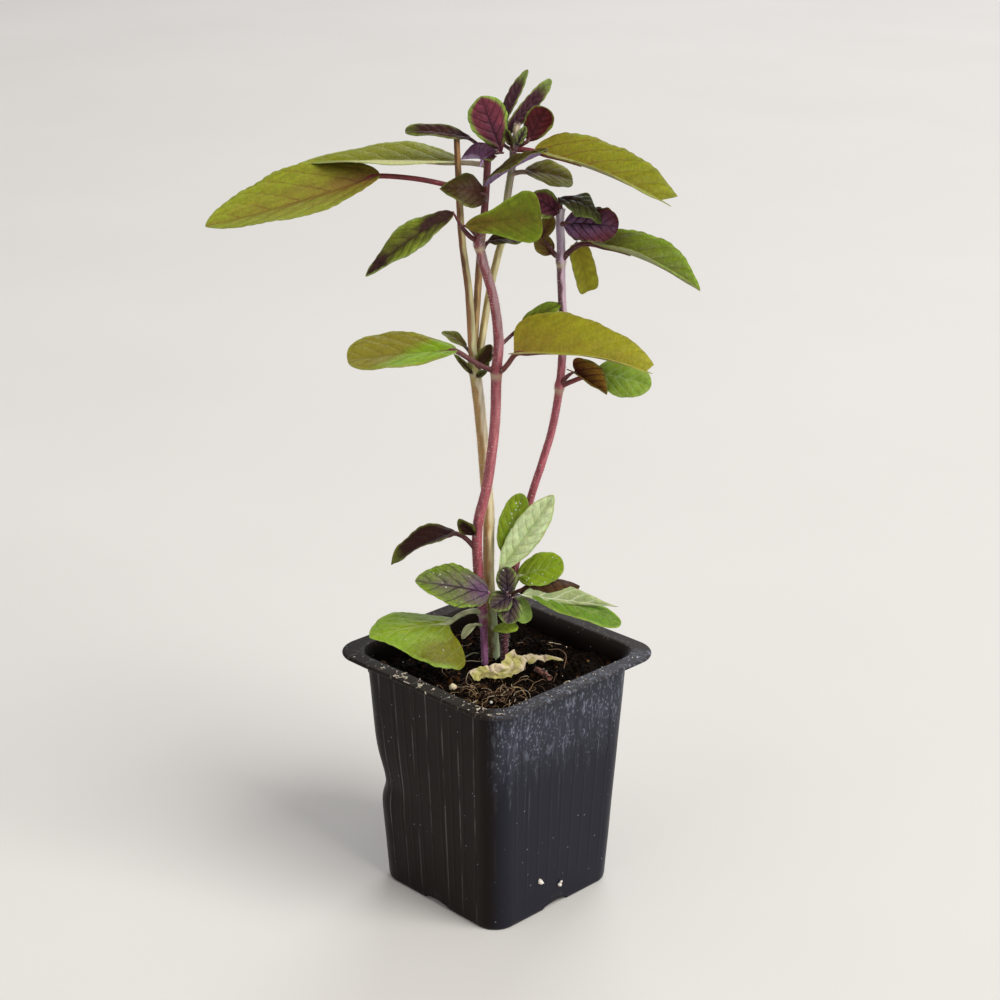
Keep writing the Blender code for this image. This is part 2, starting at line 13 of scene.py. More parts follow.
import bpy
import numpy as np
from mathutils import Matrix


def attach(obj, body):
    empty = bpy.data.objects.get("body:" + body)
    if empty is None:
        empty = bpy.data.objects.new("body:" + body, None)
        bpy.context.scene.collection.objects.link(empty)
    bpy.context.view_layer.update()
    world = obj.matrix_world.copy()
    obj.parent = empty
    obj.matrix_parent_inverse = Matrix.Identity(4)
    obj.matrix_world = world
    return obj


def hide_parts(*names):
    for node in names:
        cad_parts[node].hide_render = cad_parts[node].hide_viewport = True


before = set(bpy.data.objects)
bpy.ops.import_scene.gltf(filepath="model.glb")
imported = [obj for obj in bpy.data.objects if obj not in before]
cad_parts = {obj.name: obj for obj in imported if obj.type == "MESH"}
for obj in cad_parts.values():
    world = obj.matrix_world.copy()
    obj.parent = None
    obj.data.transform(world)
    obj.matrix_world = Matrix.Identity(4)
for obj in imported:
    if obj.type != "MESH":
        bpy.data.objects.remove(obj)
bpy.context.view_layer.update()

MM = 0.001
print("nodes:", ", ".join(sorted(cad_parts)))

# %% [markdown]
# ## The camera
#
# A photograph fixes a camera: where it stood, how it was tilted and how long its lens
# was. The pot's rim, neck and base are squares, and with the rim taken as 90 mm their
# corners in the picture give all of these. The values below are that fit's, rounded.
# The picture looks at the pot's near corner from slightly above, with a long lens that
# keeps the stems straight.

# %% Camera
PLANT_TURN = math.radians(45.66)
CAMERA_PITCH = math.radians(20.34)
CAMERA_PLACE = (0.5340, -0.5201, 0.4339)
LENS, FILM, PICTURE = 77.4, 36.0, 1000.0

camera_data = bpy.data.cameras.new("camera")
camera_data.sensor_width = FILM
camera_data.lens = LENS
camera_data.clip_start = 0.05
camera = bpy.data.objects.new("camera", camera_data)
camera.location = CAMERA_PLACE
camera.rotation_euler = (math.pi / 2 - CAMERA_PITCH, 0.0, PLANT_TURN)
bpy.context.scene.collection.objects.link(camera)
bpy.context.scene.camera = camera
bpy.context.scene.view_settings.view_transform = "Standard"
print("camera:", tuple(round(c, 3) for c in camera.location))

# %% [markdown]
# ## Two frames
#
# The pot is square to X and Y, and the plant is easier to lay out as the picture shows
# it: x to the right, y away and z up. The two frames share their Z axis and differ by
# one turn. All sizes from here on are in millimetres until they enter a mesh.

# %% Turns and small vector helpers
def to_world(points):
    """Plant frame to world: x' = x cos t - y sin t, y' = x sin t + y cos t, with t the plant's turn."""
    points = np.asarray(points, float)
    c, s = math.cos(PLANT_TURN), math.sin(PLANT_TURN)
    x, y, z = points[..., 0], points[..., 1], points[..., 2]
    return np.stack([x * c - y * s, x * s + y * c, z], axis=-1)


def to_plant(points):
    """World to plant frame, the same turn backwards."""
    points = np.asarray(points, float)
    c, s = math.cos(PLANT_TURN), math.sin(PLANT_TURN)
    x, y, z = points[..., 0], points[..., 1], points[..., 2]
    return np.stack([x * c + y * s, y * c - x * s, z], axis=-1)


def seen_at(pixels, heights):
    """Where the camera's rays through these pixels come down to these heights, in the plant frame.

    A ray runs one step ahead, (u - middle) / focal to the right and (middle - v) / focal up, and is
    followed from the camera by (height - camera's height) / (its own rise).
    """
    u, v = np.array(pixels, float).T
    focal, middle = LENS / FILM * PICTURE, PICTURE / 2
    right, rise = (u - middle) / focal, (middle - v) / focal
    c, s = math.cos(CAMERA_PITCH), math.sin(CAMERA_PITCH)
    rays = np.stack([right, c + rise * s, rise * c - s], axis=-1)
    eye = to_plant(CAMERA_PLACE) / MM
    return eye + rays * ((heights - eye[2]) / rays[:, 2])[:, None]


def unit(vectors):
    """Each vector divided by its length."""
    return vectors / np.linalg.norm(vectors, axis=-1, keepdims=True)


def smoothstep(low, high, x):
    """0 below low, 1 above high, and 3t² - 2t³ between them."""
    t = np.clip((x - low) / (high - low), 0.0, 1.0)
    return t * t * (3 - 2 * t)


def ripple(points, size, seed):
    """Smooth noise of about -1 to 1: nine sine waves of about that length, in fixed random ways, summed."""
    rng = np.random.default_rng(seed)
    ways = unit(rng.normal(size=(9, 3))) * rng.uniform(0.6, 1.5, (9, 1)) * 2 * math.pi / size
    return np.sin(np.asarray(points) @ ways.T + rng.uniform(0, 2 * math.pi, 9)).sum(-1) / 3.6


def blend(first, second, share):
    """first where share is 0, second where it is 1."""
    share = np.asarray(share)[..., None]
    return np.asarray(first) * (1 - share) + np.asarray(second) * share


# %% [markdown]
# ## From arrays to pieces
#
# Nearly everything on a plant is a row of closed rings: a stem is a row of circles, and
# a leaf blade is a row of very flat ones that shrink to a point at both ends. So one
# function, loft, joins rings into a closed skin, and another gathers such skins into
# one object with the values that its material reads at each point.

# %% Lofts and pieces
Patch = namedtuple("Patch", "points quads tris data")


def loft(rings, data=None, flat=False):
    """A closed skin through rings of equal count: quads between neighbours, and a fan over each end.

    A flat ring runs out along one face and back along the other, so a strip of quads closes its ends.
    """
    rows, count = rings.shape[:2]
    i = np.arange(rows - 1)[:, None] * count
    j = np.arange(count)[None]
    k = (j + 1) % count
    quads = np.stack([i + j, i + k, i + count + k, i + count + j], axis=-1).reshape(-1, 4)
    tail = (rows - 1) * count
    values = {key: value.reshape(-1, value.shape[-1]) for key, value in (data or {}).items()}
    if flat:
        m = np.arange(count // 2 - 1)
        strip = np.stack([m, m + 1, count - 2 - m, count - 1 - m], -1)
        quads = np.concatenate([quads, strip[:, ::-1], strip + tail])
        return Patch(rings.reshape(-1, 3), quads, np.zeros((0, 3), int), values)
    first, last = rows * count, rows * count + 1
    fan = [np.stack([k[0], j[0], np.full(count, first)], -1)]
    fan += [np.stack([tail + j[0], tail + k[0], np.full(count, last)], -1)]
    points = np.concatenate([rings.reshape(-1, 3), rings[[0, -1]].mean(axis=1)])
    for key in values:
        values[key] = np.concatenate([values[key], data[key][[0, -1]].mean(axis=1)])
    return Patch(points, quads, np.concatenate(fan), values)


def piece(name, patches, paint, node=None, sharp=60):
    """One object of the row from patches in world millimetres, riding on the part."""
    starts = np.cumsum([0] + [len(p.points) for p in patches[:-1]])
    points = np.concatenate([p.points for p in patches]) * MM
    quads = np.concatenate([p.quads + s for p, s in zip(patches, starts)])
    tris = np.concatenate([p.tris + s for p, s in zip(patches, starts)])
    mesh = bpy.data.meshes.new(name)
    mesh.vertices.add(len(points))
    mesh.vertices.foreach_set("co", points.astype(np.float32).ravel())
    corners = np.concatenate([quads.ravel(), tris.ravel()]).astype(np.int32)
    mesh.loops.add(len(corners))
    mesh.loops.foreach_set("vertex_index", corners)
    sizes = np.concatenate([np.full(len(quads), 4), np.full(len(tris), 3)])
    mesh.polygons.add(len(sizes))
    mesh.polygons.foreach_set("loop_start", np.concatenate([[0], np.cumsum(sizes)[:-1]]).astype(np.int32))
    mesh.update(calc_edges=True)
    for key in patches[0].data:
        values = np.concatenate([p.data[key] for p in patches]).astype(np.float32)
        colour = values.shape[1] == 4
        layer = mesh.attributes.new(key, "FLOAT_COLOR" if colour else "FLOAT_VECTOR", "POINT")
        layer.data.foreach_set("color" if colour else "vector", values.ravel())
    mesh.shade_smooth()
    mesh.set_sharp_from_angle(angle=math.radians(sharp))
    mesh.materials.append(paint.material)
    obj = bpy.data.objects.new(name, mesh)
    bpy.context.scene.collection.objects.link(obj)
    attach(obj, "root")
    if node:
        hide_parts(node)
    print(f"{name}: {2 * len(quads) + len(tris)} triangles")
    return obj


# %% [markdown]
# ## Writing materials as arithmetic
#
# A node tree is a formula. Wire wraps one socket, so that + and * on it add Math nodes,
# and Paint holds a Principled material and adds any other node with one method. What
# is the same all over a surface is set on the shader itself.

# %% Wire and Paint
class Wire:
    """One value in a material's node tree."""

    def __init__(self, paint, socket):
        self.paint = paint
        self.socket = socket

    def math(self, operation, *values):
        """The Math node of that operation on these values."""
        return self.paint.node("Math", {"operation": operation}, dict(enumerate(values)))

    def __add__(self, other):
        return self.math("ADD", self, other)

    __radd__ = __add__

    def __mul__(self, other):
        return self.math("MULTIPLY", self, other)

    __rmul__ = __mul__

    def __sub__(self, other):
        return self.math("SUBTRACT", self, other)

    def __rsub__(self, other):
        return self.math("SUBTRACT", other, self)

    def __truediv__(self, other):
        return self.math("DIVIDE", self, other)

    def __abs__(self):
        return self.math("ABSOLUTE", self)

    def step(self, low, high):
        """0 at low and 1 at high, smooth between them; low may be the larger."""
        inputs = {"Value": self, "From Min": low, "From Max": high}
        return self.paint.node("MapRange", {"interpolation_type": "SMOOTHSTEP"}, inputs)


class Paint:
    """A Principled material under construction."""

    def __init__(self, name, fixed):
        self.material = bpy.data.materials.new(name)
        self.material.use_nodes = True
        self.tree = self.material.node_tree
        self.shader = self.tree.nodes["Principled BSDF"]
        self.set(fixed)
        self.place = self.node("TexCoord", {}, {}, "Object")

    def feed(self, socket, value):
        """Links a wire to a socket, or sets the socket to a plain value."""
        if isinstance(value, Wire):
            self.tree.links.new(value.socket, socket)
        elif isinstance(value, tuple) and len(value) == 3 and socket.type == "RGBA":
            socket.default_value = (*value, 1.0)
        else:
            socket.default_value = value

    def set(self, values):
        """Feeds the shader's own inputs by name."""
        for key, value in values.items():
            self.feed(self.shader.inputs[key], value)

    def node(self, kind, settings, inputs, output=0):
        """Adds a node with its settings and inputs, and wraps the chosen output."""
        made = self.tree.nodes.new("ShaderNode" + kind)
        for key, value in settings.items():
            setattr(made, key, value)
        for key, value in inputs.items():
            self.feed(made.inputs[key], value)
        return Wire(self, made.outputs[output])

    def mix(self, share, first, second):
        """The first colour where share is 0, the second where it is 1."""
        return self.node("Mix", {"data_type": "RGBA"}, {0: share, 6: first, 7: second}, 2)

    def noise(self, size, detail=2.0, where=None):
        """Noise from 0 to 1 with lumps of about that size in millimetres."""
        inputs = {"Vector": where or self.place, "Scale": 1000.0 / size, "Detail": detail}
        return self.node("TexNoise", {}, inputs)

    def stretched(self, x, y, z):
        """Object coordinates scaled along each axis, for streaks."""
        return self.node("Mapping", {}, {"Vector": self.place, "Scale": (x, y, z)})

    def value(self, name, output):
        """A value stored at the mesh's points, read by its name."""
        return self.node("Attribute", {"attribute_name": name}, {}, output)

    def parts(self, vector):
        """The three components of a vector."""
        node = self.tree.nodes.new("ShaderNodeSeparateXYZ")
        self.feed(node.inputs[0], vector)
        return [Wire(self, out) for out in node.outputs]

    def bump(self, height, distance, strength=1.0):
        """Relief from a height of 0 to 1 that stands for that distance in millimetres."""
        inputs = {"Height": height, "Distance": distance * MM, "Strength": strength}
        self.set({"Normal": self.node("Bump", {}, inputs)})


# %% [markdown]
# ## The stage
#
# The basil stands on a plain pale floor in soft studio light. One large lamp to the
# right and in front gives the leaves their soft top light and lights the pot's right
# face, and two weaker ones keep the left side and the back from going black.

# %% Floor and lights
def lamp(name, place, size, power, colour):
    """A square area lamp, placed in the plant frame, that looks at the middle of the plant."""
    data = bpy.data.lights.new(name, "AREA")
    data.size, data.energy, data.color = size, power, colour
    obj = bpy.data.objects.new(name, data)
    spot = to_world(np.array(place, float)) * MM
    aim = spot - to_world(np.array([0.0, 0.0, 160.0])) * MM
    flat = math.hypot(aim[0], aim[1])
    obj.location = spot
    obj.rotation_euler = (math.atan2(flat, aim[2]), 0.0, math.atan2(aim[1], aim[0]) + math.pi / 2)
    bpy.context.scene.collection.objects.link(obj)


world = bpy.data.worlds.new("studio")
world.use_nodes = True
world.node_tree.nodes["Background"].inputs["Color"].default_value = (1.0, 0.99, 0.97, 1.0)
world.node_tree.nodes["Background"].inputs["Strength"].default_value = 0.42
bpy.context.scene.world = world
lamp("key", (2800, -1900, 3300), 3.0, 240.0, (1.0, 0.97, 0.92))
lamp("fill", (-2600, -2000, 1800), 2.4, 20.0, (1.0, 0.95, 0.9))
lamp("back", (900, 3400, 2700), 2.4, 60.0, (0.97, 0.98, 1.0))

floor_paint = Paint("pale_floor", {"Roughness": 0.75})
cloud = floor_paint.noise(260.0, 3.0)
floor_paint.set({"Base Color": floor_paint.mix(cloud, (0.60, 0.585, 0.57), (0.65, 0.635, 0.62))})
floor_mesh = bpy.data.meshes.new("floor")
floor_mesh.from_pydata([(-9, -9, 0), (9, -9, 0), (9, 9, 0), (-9, 9, 0)], [], [(0, 1, 2, 3)])
floor_mesh.materials.append(floor_paint.material)
floor = bpy.data.objects.new("floor", floor_mesh)
bpy.context.scene.collection.objects.link(floor)

# %% [markdown]
# ## The pot
#
# The real pot is thin black plastic, blown into a mould: a square that tapers to its
# foot, with round corners, a flat flange with a rounded lip, faint upright ribs and a
# crease where its left corner was pressed in. A cube with modifiers would need a bevel,
# a taper and a shell; a profile carried round a rounded square gives all three at once,
# and the ribs and the crease are then one more term each.

# %% Pot sizes and the rounded square
RIM_SIDE, NECK_SIDE, BASE_SIDE, POT_HEIGHT = 90.0, 75.0, 65.0, 97.0
WALL, FLOOR_THICK, LIP = 0.9, 1.2, 1.6
RIM_CORNER, WALL_CORNER = 12.0, 9.0
DENT_DEPTH, DENT_HEIGHT, DENT_ABOVE, DENT_BELOW, DENT_REACH = 2.2, 42.0, 11.0, 5.0, 12.0
RIB_SPACING, RIB_RELIEF, RIB_WIDTH = 6.6, 0.09, 0.42


def square_rings(side, corner, z, straight, arc, rib=0.0):
    """Rings round the Z axis, one for each side, corner and height.

    Along a straight stretch a point is (side/2, slide · reach), and round a corner it is the corner's
    centre plus its radius times (cos, sin). A rib stands out where slide · reach is near a whole spacing.
    """
    given = (side, corner, z, rib)
    side, corner, z, rib = (np.broadcast_to(np.asarray(a, float), np.shape(z))[:, None] for a in given)
    reach = side / 2 - corner
    slide = np.concatenate([np.linspace(-1, 1, straight, endpoint=False), np.ones(arc)])
    angle = np.concatenate([np.zeros(straight), np.linspace(0, math.pi / 2, arc, endpoint=False)])
    slot = slide * (NECK_SIDE / 2 - WALL_CORNER) / RIB_SPACING
    ridge = np.exp(-(((slot - np.round(slot)) * RIB_SPACING / RIB_WIDTH) ** 2))
    ridge = ridge * (np.abs(slide) < 0.97) * (angle == 0)
    x = reach + corner * np.cos(angle) + rib * ridge
    y = slide * reach + corner * np.sin(angle)
    turns = []
    for k in range(4):
        c, s = math.cos(k * math.pi / 2), math.sin(k * math.pi / 2)
        turns.append(np.stack([x * c - y * s, x * s + y * c, z + 0 * x], axis=-1))
    return np.concatenate(turns, axis=1)


def dented(points):
    """The left corner pushed in: depth · exp(-(height over the crease / spread)²) · exp(-(y / reach)²)."""
    p = to_plant(points)
    above = p[..., 2] - DENT_HEIGHT
    spread = np.where(above > 0, DENT_ABOVE, DENT_BELOW)
    push = DENT_DEPTH * np.exp(-((above / spread) ** 2)) * np.exp(-((p[..., 1] / DENT_REACH) ** 2))
    p[..., 0] += np.where(p[..., 0] < -20.0, push, 0.0)
    return to_world(p)


def wall_side(z):
    """The outer side at a height: an even taper from neck to base."""
    return BASE_SIDE + (NECK_SIDE - BASE_SIDE) * z / (POT_HEIGHT - LIP)


# %% Pot surface
def pot_profile():
    """Side, corner, height and rib height of each ring: from the underside out, up, over and down inside."""
    under = POT_HEIGHT - LIP
    rows = [(20.0, 4.0, 0.0, 0), (50.0, 8.0, 0.0, 0), (BASE_SIDE - 2.6, WALL_CORNER - 1.3, 0.0, 0)]
    rows += [(BASE_SIDE - 1.0, WALL_CORNER - 0.5, 0.25, 0), (BASE_SIDE - 0.1, WALL_CORNER, 0.9, 0)]
    for z in np.concatenate([np.linspace(2.0, 30.0, 8), np.linspace(32.0, 62.0, 22),
        np.linspace(65.0, 92.0, 8)]):
        relief = RIB_RELIEF * smoothstep(4.0, 16.0, z) * smoothstep(93.0, 86.0, z)
        rows.append((wall_side(z), WALL_CORNER, z, relief))
    rows += [(wall_side(under - 1.2), WALL_CORNER, under - 1.2, 0)]
    rows += [(NECK_SIDE + 1.0, WALL_CORNER + 0.4, under - 0.1, 0)]
    for turn in np.linspace(-90, 90, 9):
        out, up = math.cos(math.radians(turn)), math.sin(math.radians(turn))
        rows.append((RIM_SIDE - 1.6 + 1.6 * out, RIM_CORNER - 0.8 + 0.8 * out, under + 0.8 + 0.8 * up, 0))
    top = POT_HEIGHT
    rows += [(NECK_SIDE + 6.0, WALL_CORNER + 2.4, top - 0.25, 0),
        (NECK_SIDE + 3.2, WALL_CORNER + 1.0, top - 0.05, 0)]
    rows += [(NECK_SIDE + 1.6, WALL_CORNER + 0.2, top - 0.35, 0),
        (NECK_SIDE + 0.4, WALL_CORNER - 0.4, top - 1.4, 0)]
    for z in np.linspace(under - 2.0, 34.0, 14):
        rows.append((wall_side(z) - 2 * WALL, WALL_CORNER - WALL, z, 0))
    rows += [(wall_side(3.0) - 2 * WALL, WALL_CORNER - WALL, 3.0, 0)]
    rows += [(BASE_SIDE - 2 * WALL - 1.0, WALL_CORNER - WALL, FLOOR_THICK, 0), (20.0, 4.0, FLOOR_THICK, 0)]
    return [np.array(column) for column in zip(*rows)]


side, corner, height, rib = pot_profile()
pot_rings = dented(square_rings(side, corner, height, 150, 14, rib))
outward = unit(pot_rings * np.array([1.0, 1.0, 0.0]) + 1e-9)
sway = 0.10 * ripple(pot_rings, 34.0, 3) * smoothstep(3.0, 12.0, height)[:, None]
pot_rings = pot_rings + sway[..., None] * outward
print("pot rings:", pot_rings.shape)

# %% [markdown]
# Black plastic shows what has happened to it. Hard water has left pale specks and
# upright streaks under the rim of the right face, stray specks lie all over, and dust
# dulls the flange. Light is painted in too. The right face is painted a lighter, bluer
# black for the light that falls on it from the right, and the flange a browner black
# as a painted reflection. Pale lines along the ribs by the front corner are painted
# highlights where the ribs catch the light. Each is a mask: a cell pattern cut to small
# dots for specks, noise stretched upwards for streaks, and the distance to the nearest rib.

# %% Pot material
# The blue-black below is the right face in painted light, the browner flange black is a painted reflection,
# and the rib grey is a painted highlight.
BLACK, WORN_BLACK, LIT_BLUE_BLACK = (0.0045, 0.0026, 0.0016), (0.0080, 0.0050, 0.0034), (0.0130, 0.0136, 0.0230)
FLANGE_REFLECTION_BLACK, RIB_HIGHLIGHT_GREY = (0.014, 0.010, 0.008), (0.082, 0.070, 0.066)
DUST, LIME = (0.20, 0.16, 0.12), (0.30, 0.33, 0.42)
FLANGE_FOOT, FLANGE_HEAD = 0.0945, 0.0955

plastic = Paint("black_plastic", {"Specular IOR Level": 0.11})
x, y, z = plastic.parts(plastic.place)
right_face = (x - abs(y)).step(-0.006, 0.006)
front_face = (0 - y - abs(x)).step(-0.002, 0.008)
columns = plastic.noise(2.4, 3.0, plastic.stretched(1, 1, 0.02))
film = (z + columns * 0.050).step(0.081, 0.110) * right_face
cells = plastic.node("TexVoronoi", {}, {"Vector": plastic.stretched(1, 1, 0.7), "Scale": 900.0})
grains = cells.step(0.46, 0.16) * plastic.noise(3.0, 3.0).step(0.40, 0.58)
smears = plastic.noise(1.5, 5.0, plastic.stretched(1, 1, 0.22)).step(0.53, 0.70)
drips = plastic.noise(1.3, 2.0, plastic.stretched(1, 1, 0.012)).step(0.66, 0.76)
drips = drips * z.step(0.035, 0.07) * right_face
lime = film * (grains * 0.6 + smears * 0.55 + 0.10) + drips * 0.3
big_cells = plastic.node("TexVoronoi", {}, {"Vector": plastic.place, "Scale": 330.0})
stray = big_cells.step(0.10, 0.05) * plastic.noise(9.0, 2.0).step(0.50, 0.58)
# Pale lines along the ribs of the front face are painted highlights where the ribs catch the light.
rib_slot = (x / (0.0325 + z * 0.0524)) * (0.0285 / RIB_SPACING / MM)
rib_gap = abs(plastic.node("Math", {"operation": "FRACT"}, {0: rib_slot + 0.5}) - 0.5)
rib_highlight = rib_gap.step(0.055, 0.015) * plastic.noise(6.0, 3.0, plastic.stretched(1, 1, 0.3)).step(0.40, 0.62)
rib_highlight = rib_highlight * front_face
rim_dust = z.step(0.0940, 0.0962) * plastic.noise(1.5, 4.0).step(0.60, 0.72)
base = plastic.mix(plastic.noise(24.0, 3.0), BLACK, WORN_BLACK)
# The right face is painted lighter and bluer: painted light from the right.
base = plastic.mix(right_face * 0.9, base, LIT_BLUE_BLACK)
# The flange is painted a browner black: a painted reflection.
base = plastic.mix(z.step(FLANGE_FOOT, FLANGE_HEAD) * 0.8, base, FLANGE_REFLECTION_BLACK)
base = plastic.mix(rib_highlight * z.step(-0.02, 0.04), base, RIB_HIGHLIGHT_GREY)
base = plastic.mix(rim_dust * 0.5, base, DUST)
base = plastic.mix(lime * 0.62 + stray * 0.7, base, LIME)
rough = 0.30 + plastic.noise(5.0, 3.0) * 0.16 + lime * 0.3 + z.step(FLANGE_FOOT, FLANGE_HEAD) * 0.12
plastic.set({"Base Color": base, "Roughness": rough})
plastic.bump(plastic.noise(0.55, 2.0) * 0.25 + columns * 0.4 + (lime + stray) * 0.8, 0.07, 0.5)

# %% Pot with its notches and drain holes
HOLE_REACH, HOLE_RADIUS = 17.0, 3.0
pot = piece("pot_shell", [loft(pot_rings)], plastic, "pot", 50)


def prism(outline, near, far, turn):
    """An outline of (across, height) carried outward from near to far, then turned round Z."""
    outline = np.array(outline)
    rings = np.stack([np.column_stack([np.full(len(outline), r), outline]) for r in (near, far)])
    c, s = math.cos(turn), math.sin(turn)
    x, y, z = rings[..., 0], rings[..., 1], rings[..., 2]
    return loft(np.stack([x * c - y * s, x * s + y * c, z], -1))


arch = np.linspace(0, math.pi, 13)
notch = [(7.0 * math.cos(a), -2.0 + 4.2 * math.sin(a) ** 0.35) for a in arch]
round_hole = np.linspace(0, 2 * math.pi, 24, endpoint=False)
cutters = [prism(notch, BASE_SIDE / 2 - 9.0, BASE_SIDE / 2 + 4.0, k * math.pi / 2) for k in range(4)]
for k in range(4):
    turn = math.pi / 4 + k * math.pi / 2
    spot = HOLE_REACH * np.array([math.cos(turn), math.sin(turn)])
    disc = np.column_stack([spot[0] + HOLE_RADIUS * np.cos(round_hole),
        spot[1] + HOLE_RADIUS * np.sin(round_hole)])
    cutters.append(loft(np.stack([np.column_stack([disc, np.full(24, h)]) for h in (-2.0, 3.5)])))
cutter = piece("pot_cutter", cutters, plastic)
cut = pot.modifiers.new("cut", "BOOLEAN")
cut.operation, cut.object = "DIFFERENCE", cutter
bpy.context.view_layer.update()
cut_mesh = bpy.data.meshes.new_from_object(pot.evaluated_get(bpy.context.evaluated_depsgraph_get()))
pot.modifiers.clear()
pot.data = cut_mesh
bpy.data.objects.remove(cutter)
print("pot faces after the cuts:", len(pot.data.polygons))

# %% [markdown]
# ## The soil
#
# Potting soil is dark peat: crumbs of many sizes, fine roots that catch the light, and
# a few white grains of perlite. The bed itself is a height over the square: the low
# mounds of the solid, plus noise at four sizes for clods and crumbs. Loose crumbs and
# root threads are scattered on it as separate small shapes, since a height alone can't
# overhang.

# %% Soil bed
SOIL_TOP, SOIL_RELIEF = 89.5, 1.0
SOIL_LEVELS = (1.6, 24.0, 34.0, 38.5, 42.0, 47.0, 54.0, 66.0, 80.0)


def soil_height(points):
    """The solid's mounds: two crossed sine waves and a bell near the front corner."""
    p = to_plant(points)
    px, py = p[..., 0], p[..., 1]
    waves = np.sin(0.21 * px + 0.8) * np.cos(0.17 * py) + 0.6 * np.sin(0.33 * py + 0.12 * px)
    return SOIL_TOP + SOIL_RELIEF * waves + 1.6 * np.exp(-((px / 14) ** 2) - ((py + 30) / 14) ** 2)


def clods(points):
    """Crumbly relief: noise at four sizes, each folded so that it makes round lumps with sharp gaps."""
    flat = points * np.array([1.0, 1.0, 0.0])
    relief = 0.0
    for size, amount, seed in ((9.0, 0.9, 11), (4.2, 0.75, 12), (2.1, 0.5, 13), (1.1, 0.28, 14)):
        relief = relief + amount * (0.42 - np.abs(ripple(flat, size, seed)))
    return relief


levels = np.array(SOIL_LEVELS)
inner = wall_side(levels) - 2 * WALL - 0.7
lower = dented(square_rings(inner, np.full(len(levels), 7.8), levels, 90, 10))
edge = square_rings(np.array([wall_side(88.0) - 2 * WALL - 0.5]), np.array([7.8]), np.array([0.0]), 90, 10)
shares = np.linspace(1.0, 0.01, 130)[:, None, None]
top = edge * shares * np.array([1.0, 1.0, 0.0])
top[..., 2] = soil_height(top) + clods(top) * smoothstep(0.0, 0.05, 1.0 - shares[..., 0] + 0.02)
bed = loft(np.concatenate([lower, top]))

# %% Soil materials
PEAT_GAP_SHADE, PEAT_CRUMB, PEAT_RED, PEAT_PALE = (
    (0.0016, 0.0008, 0.0005), (0.0090, 0.0040, 0.0019), (0.055, 0.022, 0.008), (0.13, 0.080, 0.040)
)
peat = Paint("peat", {"Specular IOR Level": 0.04})
damp = peat.noise(11.0, 3.0)
crumb = peat.noise(1.3, 5.0)
# The low gaps between crumbs, which the bump sinks, are painted darker as shade.
tone = peat.mix(crumb.step(0.42, 0.70), PEAT_GAP_SHADE, PEAT_CRUMB)
tone = peat.mix(peat.noise(3.0, 4.0).step(0.62, 0.74) * 0.6, tone, PEAT_RED)
tone = peat.mix(peat.noise(0.8, 3.0).step(0.70, 0.78) * 0.5, tone, PEAT_PALE)
peat.set({"Base Color": tone, "Roughness": 0.62 + damp * 0.3})
peat.bump(crumb + peat.noise(0.5, 3.0) * 0.5, 0.6, 0.9)
piece("soil_bed", [bed], peat, "soil", 70)

# %% [markdown]
# Small repeated shapes are cheap if all are worked out in one array. A crumb is an
# icosahedron of twelve points, stretched and turned at random, so a thousand of them
# are one product of matrices.

# %% Crumbs and grains
GOLD = (1 + 5**0.5) / 2
ICO = [(-1, GOLD, 0), (1, GOLD, 0), (-1, -GOLD, 0), (1, -GOLD, 0), (0, -1, GOLD), (0, 1, GOLD)]
ICO += [(0, -1, -GOLD), (0, 1, -GOLD), (GOLD, 0, -1), (GOLD, 0, 1), (-GOLD, 0, -1), (-GOLD, 0, 1)]
ICO = unit(np.array(ICO, float))
ICO_TRIS = [(0, 11, 5), (0, 5, 1), (0, 1, 7), (0, 7, 10), (0, 10, 11), (1, 5, 9), (5, 11, 4), (11, 10, 2)]
ICO_TRIS += [(10, 7, 6), (7, 1, 8), (3, 9, 4), (3, 4, 2), (3, 2, 6), (3, 6, 8), (3, 8, 9), (4, 9, 5),
    (2, 4, 11)]
ICO_TRIS += [(6, 2, 10), (8, 6, 7), (9, 8, 1)]
ICO_TRIS = np.array(ICO_TRIS)


def lumps(centres, sizes, tints, seed):
    """A crumb at each centre: the icosahedron, roughened, stretched along its axes and turned at random."""
    rng = np.random.default_rng(seed)
    count = len(centres)
    rough = ICO[None] * rng.uniform(0.75, 1.2, (count, 12, 1))
    rough = rough * rng.uniform(0.55, 1.25, (count, 1, 3)) * np.asarray(sizes)[:, None, None]
    turn, _ = np.linalg.qr(rng.normal(size=(count, 3, 3)))
    turn = turn * np.sign(np.linalg.det(turn))[:, None, None]
    points = np.einsum("nij,nkj->nki", turn, rough) + centres[:, None]
    tris = (ICO_TRIS[None] + 12 * np.arange(count)[:, None, None]).reshape(-1, 3)
    tint = np.repeat(np.column_stack([tints, np.ones(count)]), 12, axis=0)
    return Patch(points.reshape(-1, 3), np.zeros((0, 4), int), tris, {"tint": tint})


def on_soil(count, seed, spread=34.5):
    """Random places on the bed, in world millimetres."""
    rng = np.random.default_rng(seed)
    places = np.column_stack([rng.uniform(-spread, spread, (count, 2)), np.zeros(count)])
    places[:, 2] = soil_height(places) + clods(places)
    return places


def pick(colours, weights, count, seed):
    """A colour for each of count shapes, drawn from a short list and varied in brightness."""
    rng = np.random.default_rng(seed)
    chosen = np.array(colours)[rng.choice(len(colours), count, p=weights)]
    return chosen * rng.uniform(0.6, 1.35, (count, 1))


